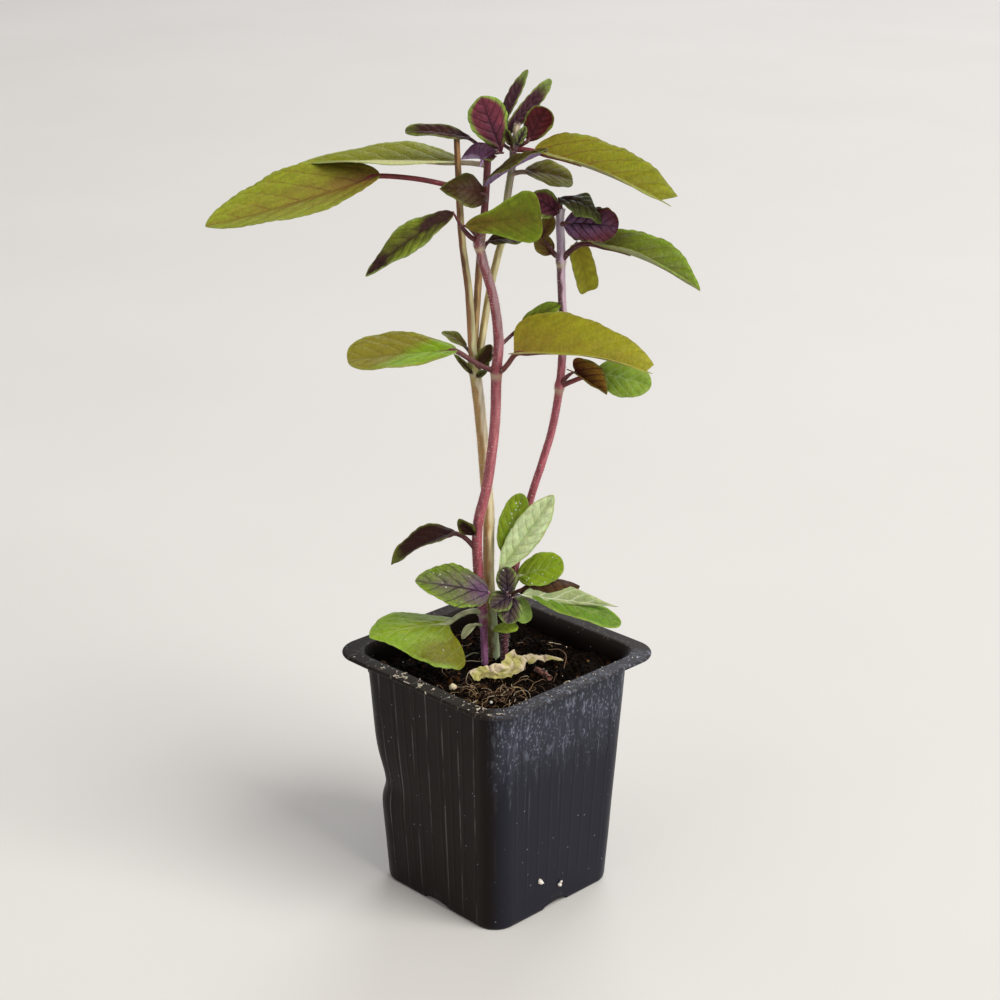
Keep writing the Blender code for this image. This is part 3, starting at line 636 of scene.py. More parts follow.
PEATS = [(0.0025, 0.0012, 0.0007), (0.008, 0.0037, 0.0018), (0.042, 0.016, 0.005), (0.17, 0.095, 0.04)]
CRUMBS = 1500
rng = np.random.default_rng(21)
crumb_places = on_soil(CRUMBS, 22)
crumb_sizes = rng.uniform(0.25, 0.6, CRUMBS) * rng.choice([1.0, 1.7, 2.6], CRUMBS, p=[0.7, 0.24, 0.06])
crumb_tints = pick(PEATS, [0.48, 0.36, 0.13, 0.03], CRUMBS, 23)
crumbs = lumps(crumb_places + (0, 0, 0.15), crumb_sizes, crumb_tints, 24)
grit = Paint("crumbs", {"Specular IOR Level": 0.04, "Roughness": 0.85})
shade = grit.noise(0.7, 3.0)
grit.set({"Base Color": grit.mix(shade * 0.5, grit.value("tint", "Color"), (0.004, 0.003, 0.002))})
grit.bump(shade, 0.25, 0.8)
piece("soil_crumbs", [crumbs], grit, None, 30)

# %% [markdown]
# Perlite is volcanic glass blown up by heat: light white grains in the peat. A cream
# one lies at the left, one near the front corner and two by the right wall. Two more,
# each with a small one beside it, are caught at the foot of the right face, and fine
# specks lie on the bed and on the rim.

# %% Perlite grains
grain_places = to_world([(-16.2, -20.5, 90.9), (42.0, 17.0, 89.6), (44.5, 13.8, 89.9), (-2.0, -36.0, 92.2)])
wall_grains = np.array([(33.9, -9.9, 14.7), (33.6, 1.6, 9.9), (33.8, -9.5, 13.8), (33.5, 1.0, 8.9)])
speck_places = on_soil(26, 31, 33.0)
rng = np.random.default_rng(33)
left_rim = np.column_stack([rng.uniform(-34, 30, 34), rng.uniform(-43.5, -38.5, 34), np.full(34, 96.9)])
right_rim = np.column_stack([rng.uniform(38.5, 43.5, 26), rng.uniform(-36, 36, 26), np.full(26, 96.9)])
rim_places = np.concatenate([left_rim, right_rim])
grain_sizes = np.concatenate([[1.55, 0.75, 0.6, 0.7], [1.25, 1.05, 0.8, 0.85], np.full(26, 0.28)])
grain_tints = np.concatenate([[(0.62, 0.55, 0.36)], np.tile((0.72, 0.69, 0.62), (33, 1))])
perlite = Paint("perlite", {"Roughness": 0.8, "Subsurface Weight": 0.2, "Subsurface Scale": 0.001})
pores = perlite.noise(0.6, 3.0)
pitted = perlite.mix(pores.step(0.62, 0.75) * 0.6, perlite.value("tint", "Color"), (0.3, 0.27, 0.22))
perlite.set({"Base Color": pitted})
perlite.bump(pores, 0.2, 0.7)
places = np.concatenate([grain_places, wall_grains, speck_places, rim_places])
grain_sizes = np.concatenate([grain_sizes, rng.uniform(0.14, 0.34, 60)])
grain_tints = np.concatenate([grain_tints, rng.uniform(0.35, 0.8, (60, 1)) * (1.0, 0.93, 0.82)])
piece("perlite_grains", [lumps(places, grain_sizes, grain_tints, 32)], perlite, None, 80)

# %% [markdown]
# ## Curves and tubes
#
# Stems, leaf stalks, roots and hairs are all tubes along a path. The path runs
# smoothly through a few given points, and a ring of points is set square to it
# at each step. Basil stems are square in section, so the ring's radius swings four
# times on its way round.

# %% Curve through points, and a tube along it
def along(points, per_span):
    """A Catmull-Rom curve through the points: each span is a cubic set by its four nearest points."""
    p = np.asarray(points, float)
    p = np.concatenate([[2 * p[0] - p[1]], p, [2 * p[-1] - p[-2]]])
    a, b, c, d = (p[k : len(p) - 3 + k, None] for k in range(4))
    t = np.linspace(0.0, 1.0, per_span, endpoint=False)[None, :, None]
    spans = 0.5 * (2 * b + (c - a) * t + (2 * a - 5 * b + 4 * c - d) * t**2 + (3 * b - a - 3 * c + d) * t**3)
    return np.concatenate([spans.reshape(-1, 3), p[-2:-1]])


def tube_rings(path, radii, around, squareness=0.0):
    """Rings about a path, and each ring's outward ways: cos a · across + sin a · other, a from 0 to 2 pi."""
    tangents = unit(np.gradient(path, axis=0))
    axes = np.eye(3)
    across = axes[np.argmin(np.abs(tangents @ axes.T).max(axis=0))]
    across = unit(across - tangents * (tangents @ across)[:, None])
    other = np.cross(tangents, across)
    angle = np.linspace(0, 2 * math.pi, around, endpoint=False)[None, :, None]
    ways = np.cos(angle) * across[:, None] + np.sin(angle) * other[:, None]
    swell = 1 + squareness * np.cos(4 * angle)
    return path[:, None] + ways * swell * np.asarray(radii)[:, None, None], ways


def tinted(rings, colour, gloss):
    """The data of a skin of one colour: red, green, blue and roughness at each point."""
    tint = np.broadcast_to(np.asarray(colour, float), (*rings.shape[:2], 3))
    return {"tint": np.concatenate([tint, np.full((*rings.shape[:2], 1), gloss)], axis=-1)}


# %% Root threads
ROOT_TONES = [(0.34, 0.21, 0.10), (0.075, 0.036, 0.016), (0.74, 0.62, 0.42)]
BED_REACH = 35.2
LITTER_RADIUS, LITTER_TONE = 0.17, (0.78, 0.70, 0.56)
LEFT_LITTER, CORNER_LITTER = ((-16, -43.5, 97.0), (8, -39.5, 97.1)), ((27, -43, 97.0), (40, -38.5, 97.1))


def thread(points, radius, colour):
    """A round rootlet through the points that thins to under half its radius."""
    path = along(points, 5)
    rings, _ = tube_rings(path, radius * np.linspace(1.0, 0.45, len(path)), 5)
    return loft(to_world(rings), tinted(rings, colour, 0.7))


def random_threads(count, seed, near):
    """Short wandering rootlets on the bed; near pulls their starts towards the front corner."""
    rng = np.random.default_rng(seed)
    made = []
    for _ in range(count):
        start = np.array([rng.normal(-3, 9), rng.normal(-29, 7)]) if near else rng.uniform(-26, 26, 2)
        heading, bend = rng.uniform(0, 2 * math.pi), rng.normal(0, 0.5)
        step = rng.uniform(0.7, 1.8)
        turn = heading + bend * np.arange(6) + rng.normal(0, 0.25, 6)
        trail = start + np.cumsum(step * np.column_stack([np.cos(turn), np.sin(turn)]), axis=0)
        world = np.abs(to_world(np.column_stack([trail, np.zeros(6)])))[:, :2].max()
        if world > BED_REACH:
            continue
        arched = np.sin(np.linspace(0, math.pi, 6))
        lift = rng.uniform(0.1, 0.7) + rng.uniform(0.0, 3.0) * arched * (rng.random() < 0.6)
        spots = np.column_stack([trail, np.zeros(6)])
        spots[:, 2] = soil_height(to_world(spots)) + lift
        shade = ROOT_TONES[rng.choice(3, p=[0.32, 0.50, 0.18] if near else [0.2, 0.7, 0.1])]
        made.append(thread(spots, rng.uniform(0.08, 0.19), np.array(shade) * rng.uniform(0.6, 1.2)))
    return made


threads = random_threads(130, 41, True) + random_threads(50, 42, False)
threads += [thread([(20.0, 14, 90.5), (24, 10, 92.5), (26.5, 4, 92.6), (25.5, -3, 90.6)], 0.28,
    (0.25, 0.14, 0.08))]
threads += [thread([(-12.0, 8, 90.2), (-9, 6.5, 92.6), (-6.8, 4.5, 93.4)], 0.3, (0.42, 0.46, 0.26))]
threads += [thread([(-16.5, 2, 89.8), (-11.0, 1.0, 91.8), (-6.0, 0.0, 92.0)], 0.22, (0.40, 0.36, 0.24))]
rng = np.random.default_rng(43)
left_litter = rng.uniform(*LEFT_LITTER, (13, 3))
corner_litter = rng.uniform(*CORNER_LITTER, (12, 3))
for start in np.concatenate([left_litter, corner_litter]):
    bends = np.cumsum(rng.normal(0, 0.95, (4, 3)) * (1, 0.7, 0.04), axis=0)
    threads.append(thread(to_plant(start + bends), LITTER_RADIUS, LITTER_TONE))
fibre = Paint("root_fibre", {"Roughness": 0.7, "Specular IOR Level": 0.3})
fibre.set({"Base Color": fibre.mix(fibre.noise(1.2) * 0.5, fibre.value("tint", "Color"), (0.05, 0.03, 0.02))})
fibre.bump(fibre.noise(0.4), 0.1, 0.5)
piece("soil_roots", threads, fibre, None, 80)

# %% [markdown]
# ## The stems
#
# Three stems stand in the soil. The red one in front bows and then pinches out at its
# cut top, the pale one forks at its joint into a dry stick, a brown twig and a green
# shoot, and the purple one leans out to the right. Their paths are drawn through a few
# points each, which were judged from the picture, with their depths guessed. Colour is
# worked out in numpy from height, because a stem changes colour at its joints, and from
# the side that a point is on. The side to the right is painted lighter as the light that
# falls on it, and the side to the left darker as shade.

# %% Stem paths
RED_PATH = [(-4.3, 3.0, 67), (-4.6, 2.5, 92), (-5.3, 1.5, 112), (-7, 0, 130), (-7, -1.5, 148), (-4, -3, 162)]
RED_PATH += [(-2, -3, 175), (-0.5, -3, 190), (0, -3, 208), (0.7, -3, 220), (-1, -3.5, 235), (-4.5, -4, 248)]
RED_PATH += [(-6.3, -4, 256), (-6, -4, 260)]
PALE_PATH = [(-0.8, 7.2, 67), (-1, 7, 92), (-2, 6, 108), (-3, 5, 124), (-3, 4.5, 139), (-3, 4.5, 152)]
PALE_PATH += [(-4, 4.5, 164), (-5, 4, 178), (-6.5, 4, 195), (-8, 4, 207), (-8.6, 4.5, 212)]
STICK_PATH = [(-8, 4, 203), (-9, 4, 219), (-10, 4.5, 236), (-12, 5, 252), (-13, 5.5, 266), (-13.5, 6, 279)]
STICK_PATH += [(-14, 6.5, 291)]
TWIG_PATH = [(-8, 4, 204), (-8, 7, 216), (-7, 8.5, 232), (-6, 8.5, 246), (-4.5, 8, 262), (-3.5, 7.5, 275)]
TWIG_PATH += [(-3, 6.5, 284), (-2, 5.5, 287)]
GREEN_PATH = [(-8, 4, 204), (-6, 6, 213), (-3, 8, 232), (0, 9, 246), (2.5, 9, 256), (4, 8.5, 270),
    (5.5, 7, 280)]
GREEN_PATH += [(6, 5.5, 288), (6.8, 5.0, 292), (7.4, 4.6, 296.5)]
PURPLE_PATH = [(2.8, 1.5, 67), (2.8, 1.5, 92), (3.2, 2, 104), (5, 3, 118), (7.5, 4, 132), (12, 5, 154)]
PURPLE_PATH += [(17, 5, 171), (20.5, 5, 184), (23, 5, 200), (24, 5, 215), (23.8, 5, 228), (23.2, 5, 240)]
PURPLE_PATH += [(23, 5, 252), (22.5, 5, 262), (23, 5, 266)]


def stem_patch(points, radii, joints, colours, gloss=0.5):
    """A square-edged tube that swells at its joints, with fine lengthwise grooves.

    radii is a list of (height, radius) and colours a list of (height, left colour, right colour); both
    are read off at each height. The right colour faces the picture's right and is the stem in painted
    light; the left colour is the stem in painted shade.
    """
    path = along(points, 14)
    z = path[:, 2]
    levels, sizes = zip(*radii)
    radius = np.interp(z, levels, sizes)
    knot = sum(np.exp(-(((z - joint) / 1.9) ** 2)) for joint in joints) + 0 * z
    rings, ways = tube_rings(path, radius + 0.42 * knot, 28, 0.07)
    angle = np.arctan2(ways[..., 1], ways[..., 0])
    rings = rings + ways * (0.035 * np.sin(9 * angle) + 0.04 * ripple(rings, 5.0, 51))[..., None]
    heights = [row[0] for row in colours]
    # The left colour paints the shaded side and the right colour the lit side, blended by the way each point
    # faces.
    left = np.stack([np.interp(z, heights, [row[1][k] for row in colours]) for k in range(3)], -1)[:, None]
    right = np.stack([np.interp(z, heights, [row[2][k] for row in colours]) for k in range(3)], -1)[:, None]
    side = smoothstep(-0.25, 0.3, ways[..., 0] + 0.25 * ripple(rings, 7.0, 52))
    tint = left * (1 - side[..., None]) + right * side[..., None]
    tint = tint * (1 + 0.22 * ripple(rings * (1, 1, 0.12), 1.6, 53))[..., None]
    pale = np.clip(sum(np.exp(-(((z - joint + 1.6) / 0.9) ** 2)) for joint in joints) + 0 * z, 0, 1)[:, None]
    tint = blend(tint, (0.50, 0.44, 0.28), 0.75 * pale * np.ones_like(side))
    data = np.concatenate([np.clip(tint, 0.002, 1), np.full((*side.shape, 1), gloss)], -1)
    return loft(to_world(rings), {"tint": data}), rings, ways


# %% Stem material and hairs
skin = Paint("stem_skin", {"Specular IOR Level": 0.4, "Subsurface Weight": 0.12, "Subsurface Scale": 0.0012})
scurf = skin.noise(0.9, 3.0).step(0.55, 0.8) * 0.22
skin.set({"Base Color": skin.mix(scurf, skin.value("tint", "Color"), (0.55, 0.48, 0.42))})
skin.set({"Roughness": skin.value("tint", "Alpha") + skin.noise(2.0) * 0.15})
skin.bump(skin.noise(0.7, 3.0, skin.stretched(1, 1, 0.25)), 0.12, 0.6)
down = Paint("stem_down", {"Roughness": 0.6, "Sheen Weight": 0.3})
down.set({"Base Color": down.mix(down.noise(2.0), (0.62, 0.52, 0.50), (0.75, 0.70, 0.64))})
down.bump(down.noise(0.5), 0.05, 0.3)


HAIR_FOOT, HAIR_LEAN = 0.065, 0.42


def hairs(rings, ways, count, length, seed, low=0.0, high=1e9):
    """Fine hairs: each is a three-sided spike on a random point of the rings, leaning a little at random."""
    rng = np.random.default_rng(seed)
    heights = rings[..., 2].mean(axis=1)
    rows = np.flatnonzero((heights > low) & (heights < high))
    i, j = rng.choice(rows, count), rng.integers(0, rings.shape[1], count)
    root = rings[i, j] + rng.normal(0, 0.12, (count, 3)) - ways[i, j] * 0.1
    lean = unit(ways[i, j] + rng.normal(0, HAIR_LEAN, (count, 3)))
    tip = root + lean * (length * rng.uniform(0.5, 1.3, count))[:, None]
    first = unit(np.cross(lean, rng.normal(size=(count, 3))))
    second = np.cross(lean, first)
    turn = np.array([0.0, 2.1, 4.2])[None, :, None]
    feet = root[:, None] + HAIR_FOOT * (np.cos(turn) * first[:, None] + np.sin(turn) * second[:, None])
    points = np.concatenate([feet, tip[:, None]], axis=1)
    faces = np.array([(0, 1, 3), (1, 2, 3), (2, 0, 3), (2, 1, 0)])
    tris = (faces[None] + 4 * np.arange(count)[:, None, None]).reshape(-1, 3)
    return Patch(to_world(points.reshape(-1, 3)), np.zeros((0, 4), int), tris, {})


# %% Red, pale and purple stems
# In each row below, the second colour is the stem's left side in painted shade and the third is its right
# side in painted light.
LILAC, CRIMSON, LIT_PINK = (0.34, 0.13, 0.29), (0.36, 0.075, 0.10), (0.44, 0.15, 0.17)
GREY_LILAC, DARK_RED, WINE = (0.27, 0.15, 0.17), (0.13, 0.025, 0.03), (0.22, 0.04, 0.055)
RED_COLOURS = [(92, LILAC, LILAC), (110, LILAC, (0.26, 0.07, 0.12)), (118, WINE, WINE),
    (150, (0.26, 0.06, 0.075), CRIMSON)]
RED_COLOURS += [(195, (0.30, 0.07, 0.09), LIT_PINK), (210, WINE, CRIMSON), (222, WINE, GREY_LILAC),
    (250, WINE, GREY_LILAC)]
TAN, LIT_WHITE_GREEN, LEAF_GREEN = (0.40, 0.24, 0.085), (0.86, 0.80, 0.60), (0.52, 0.62, 0.34)
PALE_COLOURS = [(92, (0.17, 0.12, 0.04), (0.62, 0.74, 0.44)), (110, (0.28, 0.26, 0.08), LEAF_GREEN)]
PALE_COLOURS += [(118, TAN, (0.50, 0.46, 0.24)), (140, TAN, (0.62, 0.52, 0.30)), (200, TAN, LIT_WHITE_GREEN)]
PALE_COLOURS += [(206, (0.33, 0.30, 0.10), (0.36, 0.33, 0.12)), (214, (0.30, 0.26, 0.10), (0.36, 0.30, 0.16))]
STICK_COLOURS = [(205, (0.30, 0.15, 0.06), (0.62, 0.62, 0.36)), (250, (0.22, 0.10, 0.04), (0.56, 0.50, 0.26))]
STICK_COLOURS += [(285, (0.12, 0.05, 0.02), (0.36, 0.19, 0.07))]
BROWN_COLOURS = [(205, (0.26, 0.15, 0.05), (0.56, 0.42, 0.20)), (240, (0.20, 0.10, 0.04), (0.46, 0.30, 0.14))]
BROWN_COLOURS += [(262, DARK_RED, (0.16, 0.05, 0.05)), (288, DARK_RED, (0.20, 0.07, 0.09))]
GREEN_COLOURS = [(205, (0.34, 0.24, 0.08), (0.66, 0.58, 0.34)), (250, (0.34, 0.28, 0.10), (0.60, 0.56, 0.30))]
GREEN_COLOURS += [(275, (0.34, 0.34, 0.18), (0.48, 0.42, 0.32)),
    (286, (0.16, 0.10, 0.10), (0.24, 0.15, 0.16))]
GREEN_COLOURS += [(289, (0.40, 0.33, 0.20), (0.56, 0.48, 0.34)),
    (295, (0.46, 0.40, 0.26), (0.60, 0.52, 0.38))]
GREEN_COLOURS += [(296.5, (0.06, 0.03, 0.03), (0.08, 0.04, 0.04))]
PURPLE_COLOURS = [(92, (0.045, 0.012, 0.018), (0.12, 0.03, 0.05)),
    (112, (0.06, 0.015, 0.02), (0.16, 0.04, 0.06))]
PURPLE_COLOURS += [(125, WINE, WINE), (160, (0.26, 0.05, 0.07), CRIMSON),
    (208, (0.30, 0.06, 0.09), (0.54, 0.17, 0.22))]
PURPLE_COLOURS += [(216, (0.12, 0.04, 0.06), (0.56, 0.38, 0.48)),
    (246, (0.10, 0.03, 0.05), (0.58, 0.42, 0.54))]
PURPLE_COLOURS += [(252, (0.30, 0.20, 0.30), (0.52, 0.42, 0.54)),
    (266, (0.34, 0.26, 0.36), (0.60, 0.54, 0.60))]

red_radii = [(92, 1.25), (118, 1.5), (130, 1.8), (215, 1.75), (240, 1.6), (260, 1.5)]
red_stem, red_rings, red_ways = stem_patch(RED_PATH, red_radii, (112, 208, 255), RED_COLOURS)
pale_stem, pale_rings, pale_ways = stem_patch(PALE_PATH, [(92, 2.0), (212, 2.0)], (207,), PALE_COLOURS)
stick, _, _ = stem_patch(STICK_PATH, [(203, 1.5), (291, 1.0)], (), STICK_COLOURS, 0.6)
brown, brown_rings, brown_ways = stem_patch(TWIG_PATH, [(204, 1.3), (287, 1.2)], (), BROWN_COLOURS)
green, green_rings, green_ways = stem_patch(GREEN_PATH, [(204, 1.3), (288, 1.2), (296, 1.0)], (),
    GREEN_COLOURS)
purple_radii = [(92, 1.35), (266, 1.4)]
purple_stem, purple_rings, purple_ways = stem_patch(PURPLE_PATH, purple_radii, (112, 200, 247),
    PURPLE_COLOURS)
piece("red_stem", [red_stem], skin, "stem_red")
piece("pale_stem", [pale_stem, stick, brown, green], skin, "stem_pale")
piece("purple_stem", [purple_stem], skin, "stem_purple")

fuzz = [hairs(red_rings, red_ways, 2600, 0.75, 61, 92, 258),
    hairs(purple_rings, purple_ways, 2800, 0.75, 62, 92, 264)]
piece("stem_hairs", [fuzz[0]], down, "stem_red")
piece("purple_hairs", [fuzz[1]], down, "stem_purple")
pale_fuzz = [hairs(pale_rings, pale_ways, 1900, 0.75, 63, 92, 210),
    hairs(green_rings, green_ways, 900, 0.6, 64)]
pale_fuzz += [hairs(brown_rings, brown_ways, 400, 0.5, 65)]
piece("pale_hairs", pale_fuzz, down, "stem_pale")

# %% [markdown]
# ## The leaves
#
# A basil leaf is a thin blade that is folded along its midrib, puffed up between its
# side veins and finely toothed at its edge. Its outline is a product of two powers: one
# rises from the stalk, the other falls to the tip, and they meet at the widest point.
# Each row below places one leaf by its stalk's root, the blade's base and tip, its
# width and the way its face looks, near the solid's own. These were judged from the
# picture, and the depths and faces are guesses. The word in a row names its colouring.

# %% Leaf rows
Leaf = namedtuple(
    "Leaf",
    "root base tip width face widest blunt fold arch look curl skew bow lobe neck notch twist",
    defaults=(0.0,) * 7,
)
RED_LEAVES = [
    Leaf((-6, -4, 256), (-15, -7, 267), (-46, -10, 245), 14.5, (-0.5, -0.5, 0.7), 0.42, 0.6, 8, 2, "dusk",
        bow=-2),
    Leaf((-6, -4, 257), (-11, -9, 262.8), (15.5, -12, 267.5), 18.5, (0, -0.95, 0.3), 0.78, 0.7, 4, -1, "moss",
        bow=1, neck=0.35),
    Leaf((-5, -4, 253), (-3, -3, 256), (9, -3, 256), 8, (0, -0.3, 0.9), 0.5, 0.6, 6, 1, "brown"),
    Leaf((0, -3, 208), (-14, -6, 217), (-53, -12, 215), 24, (0, -0.31, 0.95), 0.60, 0.6, 10, 1, "olive_fold",
        bow=-1, neck=0.15),
    Leaf((0, -3, 208), (6, -7, 216), (55, -13, 210.5), 31, (0, -0.3, 0.95), 0.25, 0.2, 34, 4, "olive", 0, 0,
        -2, 0, 0, 1.8),
    Leaf((0.6, -3, 217), (9, 2.5, 223.5), (23.2, 4.5, 231), 7.5, (-0.2, -0.5, 0.8), 0.5, 0.6, 6, 1,
        "leaf_green"),
    Leaf((-7, -0.5, 137), (-15, -2, 145.5), (-39, -8, 135), 15.5, (0, -0.1, 1), 0.45, 0.7, 24, 2, "maroon",
        bow=1),
    Leaf((-7, -1.5, 143), (-8, -3, 145), (-14, -5, 152), 6, (-0.6, -0.6, 0.5), 0.5, 0.7, 6, 1, "maroon"),
    Leaf((-6.3, 1, 121), (-3, -5, 122.5), (-30, -14, 131), 18, (0, -0.6, 0.8), 0.42, 0.5, 6, 1, "veined"),
    Leaf((-5.3, 1.5, 112), (-18, -6, 110.5), (-47, -18, 110), 27, (0, -0.5, 0.87), 0.31, 0.3, -25, 2,
        "fresh_fold", 0, 0.66, 2, 0.75, 0, 0, 1.3),
    Leaf((-5, 2, 106), (-8, -3, 109), (-13, -6, 104), 4, (-0.6, -0.6, 0.5), 0.5, 0.7, 6, 1, "pale"),
]
PALE_LEAVES = [
    Leaf((-4, 8, 270), (-41, 6, 278), (-102, -6, 262), 34, (0, -0.32, 0.95), 0.45, 0.6, 16, -1, "red_olive",
        bow=1),
    Leaf((-3.5, 7.5, 281), (-13, 8.5, 281.8), (-70, 18, 279.6), 27, (0, -0.09, 1), 0.4, 0.65, 12, 1,
        "spring"),
    Leaf((-3, 6.5, 285), (-9, 7, 290.5), (-32, 6, 293.2), 7.5, (0, -0.5, 1), 0.6, 0.5, 8, 1.6, "plum_dark"),
    Leaf((-2, 5.5, 286), (2, 4, 286), (-5.5, 2, 306), 14, (0.1, -1, 0.25), 0.62, 1.1, -5, -1, "plum_green"),
    Leaf((6, 6, 286), (-0.2, 8, 290), (11, 10, 314), 5.6, (-0.6, -0.7, 0.3), 0.55, 0.7, 14, 1, "plum_tip"),
    Leaf((6, 6, 286), (0.6, 7, 289.5), (19, 8, 311), 5.6, (0.4, -0.8, 0.4), 0.6, 0.7, 14, 1, "plum_tip"),
    Leaf((6, 5.5, 287), (11, 4, 290), (17.5, 2, 302), 10, (0.1, -0.95, 0.2), 0.6, 0.7, -4, -1, "plum_red"),
    Leaf((-2, 5.5, 286), (0, 2, 287), (-12.3, -1, 284.6), 8, (-0.1, -0.4, 1), 0.4, 0.6, -16, 5, "lilac", 1.5),
    Leaf((-2, 5.5, 284.6), (-0.4, 2.4, 285), (-8, 0, 286.5), 6.5, (-0.2, -0.5, 0.8), 0.5, 0.6, 6, 0,
        "plum_dark"),
    Leaf((6, 5.5, 287), (13, 3, 287), (60.8, -10, 270), 27, (0, -0.2, 0.98), 0.4, 0.5, 28, 2.5, "bronze",
        notch=4.4),
    Leaf((5.5, 7, 278), (10, 6, 279), (27, 9, 275), 14, (0.1, -0.45, 0.9), 0.6, 0.6, 6, 1, "olive_pink"),
    Leaf((-3.5, 7.5, 275), (-4, 3, 274.6), (18, -4, 288.5), 16, (-0.35, -0.1, 1), 0.42, 0.45, 50, 1,
        "two_faced", 0.5),
    Leaf((-4, 8, 268), (-4, 4, 271), (-20, 0, 274), 13, (0, -0.75, 0.6), 0.35, 0.5, -8, 3, "brown"),
    Leaf((5.6, 5.8, 286), (5.2, 4.2, 288.4), (3.2, 3.4, 294.5), 3.4, (-0.5, -0.8, 0.2), 0.5, 0.6, 6, 0,
        "plum_dark"),
    Leaf((6.2, 5.6, 285), (7, 3, 288.4), (10.2, 3.2, 295.5), 3.4, (0.3, -0.9, 0.2), 0.5, 0.6, 6, 0, "slate"),
    Leaf((-8, 4, 207), (-7, 1.5, 209), (-2, 1, 217), 6, (0.4, -0.8, 0.3), 0.5, 0.6, 6, 1, "brown"),
    Leaf((-8, 4, 207), (-6, 2, 208), (-3, 1.5, 211), 4, (0.3, -0.8, 0.4), 0.5, 0.6, 6, 0, "plum_dark"),
    Leaf((-8, 4, 204), (-8.6, 1.9, 205.6), (-15.5, 0.5, 213.6), 2.6, (-0.5, -0.8, 0.4), 0.4, 0.6, 10, -0.5,
        "maroon"),
    Leaf((-8, 4, 204), (-7.4, 1.6, 204.6), (-3.2, 0.4, 207.6), 2.4, (0.3, -0.9, 0.3), 0.4, 0.6, 10, -0.4,
        "maroon"),
    Leaf((-8.6, 4.5, 211), (-11, 8, 214), (-20, 10, 219), 6, (0, -0.3, 1), 0.5, 0.6, 6, 1, "olive_green"),
    Leaf((-1.8, 6.2, 104.5), (-1.5, -1, 105.8), (8, -5.5, 108.2), 5, (0, -0.6, 0.8), 0.6, 0.6, 6, 1, "fresh"),
]
PURPLE_LEAVES = [
    Leaf((23, 5, 264), (22, 4, 265), (12, 2, 271), 10, (-0.2, -0.8, 0.5), 0.5, 0.5, -6, 1, "plum_green"),
    Leaf((23, 5, 265), (22, 2, 270), (37, -1, 262), 11, (0.3, -0.5, 0.8), 0.45, 0.5, -10, 4, "dark_green"),
    Leaf((22.5, 5, 260), (24, 3, 261), (43, -2, 261), 14, (0, -0.8, 0.6), 0.55, 0.5, -4, 1, "violet"),
    Leaf((23, 5, 247), (34, 2, 254), (72, -7, 239), 22.5, (0, -0.16, 0.99), 0.42, 0.6, 31, 3, "leaf_green",
        bow=2),
    Leaf((23, 5, 247), (28.5, 9, 252.5), (33.3, 12, 234), 9, (0.25, -1, 0.3), 0.55, 0.16, 16, 1, "khaki"),
    Leaf((23, 5, 247), (16, 8, 255), (20, 7, 263), 6, (-0.2, -0.9, 0.3), 0.5, 0.6, 5, 0, "ochre"),
    Leaf((23, 5, 247), (20, 7, 249), (14, 8, 255), 7, (-0.1, -0.9, 0.4), 0.5, 0.6, 5, 0, "ochre"),
    Leaf((23, 5, 200), (28.2, -1, 207.2), (39.8, -5, 200), 12, (0.45, -0.6, 0.65), 0.36, 0.45, 42, 0.6,
        "red_brown", 0, 0.15, 1, 1.2),
    Leaf((23, 5, 200), (36, 3, 206), (56, -1, 202), 15, (0, -0.8, 0.6), 0.5, 0.55, 6, 1, "gloss_green"),
    Leaf((4.2, 2.5, 112), (1, -4, 131), (21, -4, 161), 12, (-0.3, -0.9, 0.4), 0.52, 0.8, 8, -1, "mint"),
    Leaf((4.2, 2.5, 112), (2, 0, 137), (9.5, 3, 159), 10, (0, -0.9, 0.4), 0.55, 0.6, 6, 0, "fresh"),
    Leaf((5, 3, 118), (8, 0, 127), (25, -3, 133), 13, (0, -0.7, 0.7), 0.55, 0.5, 5, 1, "fresh"),
    Leaf((4.5, 2.5, 114), (4, -6, 123), (3.5, -5, 133), 8, (0, -0.9, 0.4), 0.5, 0.5, -6, 0, "slate"),
    Leaf((4.5, 2.5, 114), (5, -4, 121), (-2, -9, 118), 9, (-0.3, -0.8, 0.5), 0.5, 0.5, 5, 0, "slate"),
    Leaf((4.5, 2.5, 114), (6, -4, 120), (4, -10, 112), 9, (0, -0.8, 0.5), 0.5, 0.5, 5, 0, "slate"),
    Leaf((4.5, 2.5, 113), (7.4, -2.5, 119.4), (11.4, -5.5, 110.6), 7.4, (0.3, -0.8, 0.5), 0.5, 0.4, 5, 0,
        "bright"),
    Leaf((4.8, 2.8, 116), (13, -5, 122), (46.4, -9, 111.5), 10, (0, -0.5, 0.87), 0.55, 0.5, -6, 2,
        "pale_rib"),
    Leaf((4.8, 2.8, 116), (9.4, -5.6, 121.8), (45.2, -8.5, 118.4), 7.2, (0, -0.85, 0.5), 0.34, 0.75, 3, 0.6,
        "pale_strand", 0, 0.6),
    Leaf((5, 3, 118), (7.8, -2, 122), (31, -3.4, 124.4), 8.6, (0, -0.5, 0.86), 0.55, 0.45, -12, 5.0,
        "brown_edge", 1.5),
]
print("leaves:", len(RED_LEAVES) + len(PALE_LEAVES) + len(PURPLE_LEAVES))

# %% [markdown]
# Purple basil is green under its pigment: the purple gathers near the midrib and the
# stalk and thins out towards the edge, where a bright green rim is left. So a colouring
# is a main colour, an edge colour with the width of that rim in millimetres, and a
# blush with how far it reaches from the stalk. On the violet leaf the blush is a pale
# lilac that is a painted sheen. The veins have their own colour and strength, and on the
# young tip leaves that colour is a pale lilac painted as highlight. The underside and
# the stalk have theirs. Then come how rough, puffed, toothed and wavy the blade is, how
# many pairs of side veins it has, and how much of the blush (above 0) or of the edge
# colour (below 0) returns at the tip. Where one half has a colour of its own, then
# come that colour, the side, and where it starts across and ends along. On the near half
# of the big folded leaf low on the red stem, that colour is a painted shade.

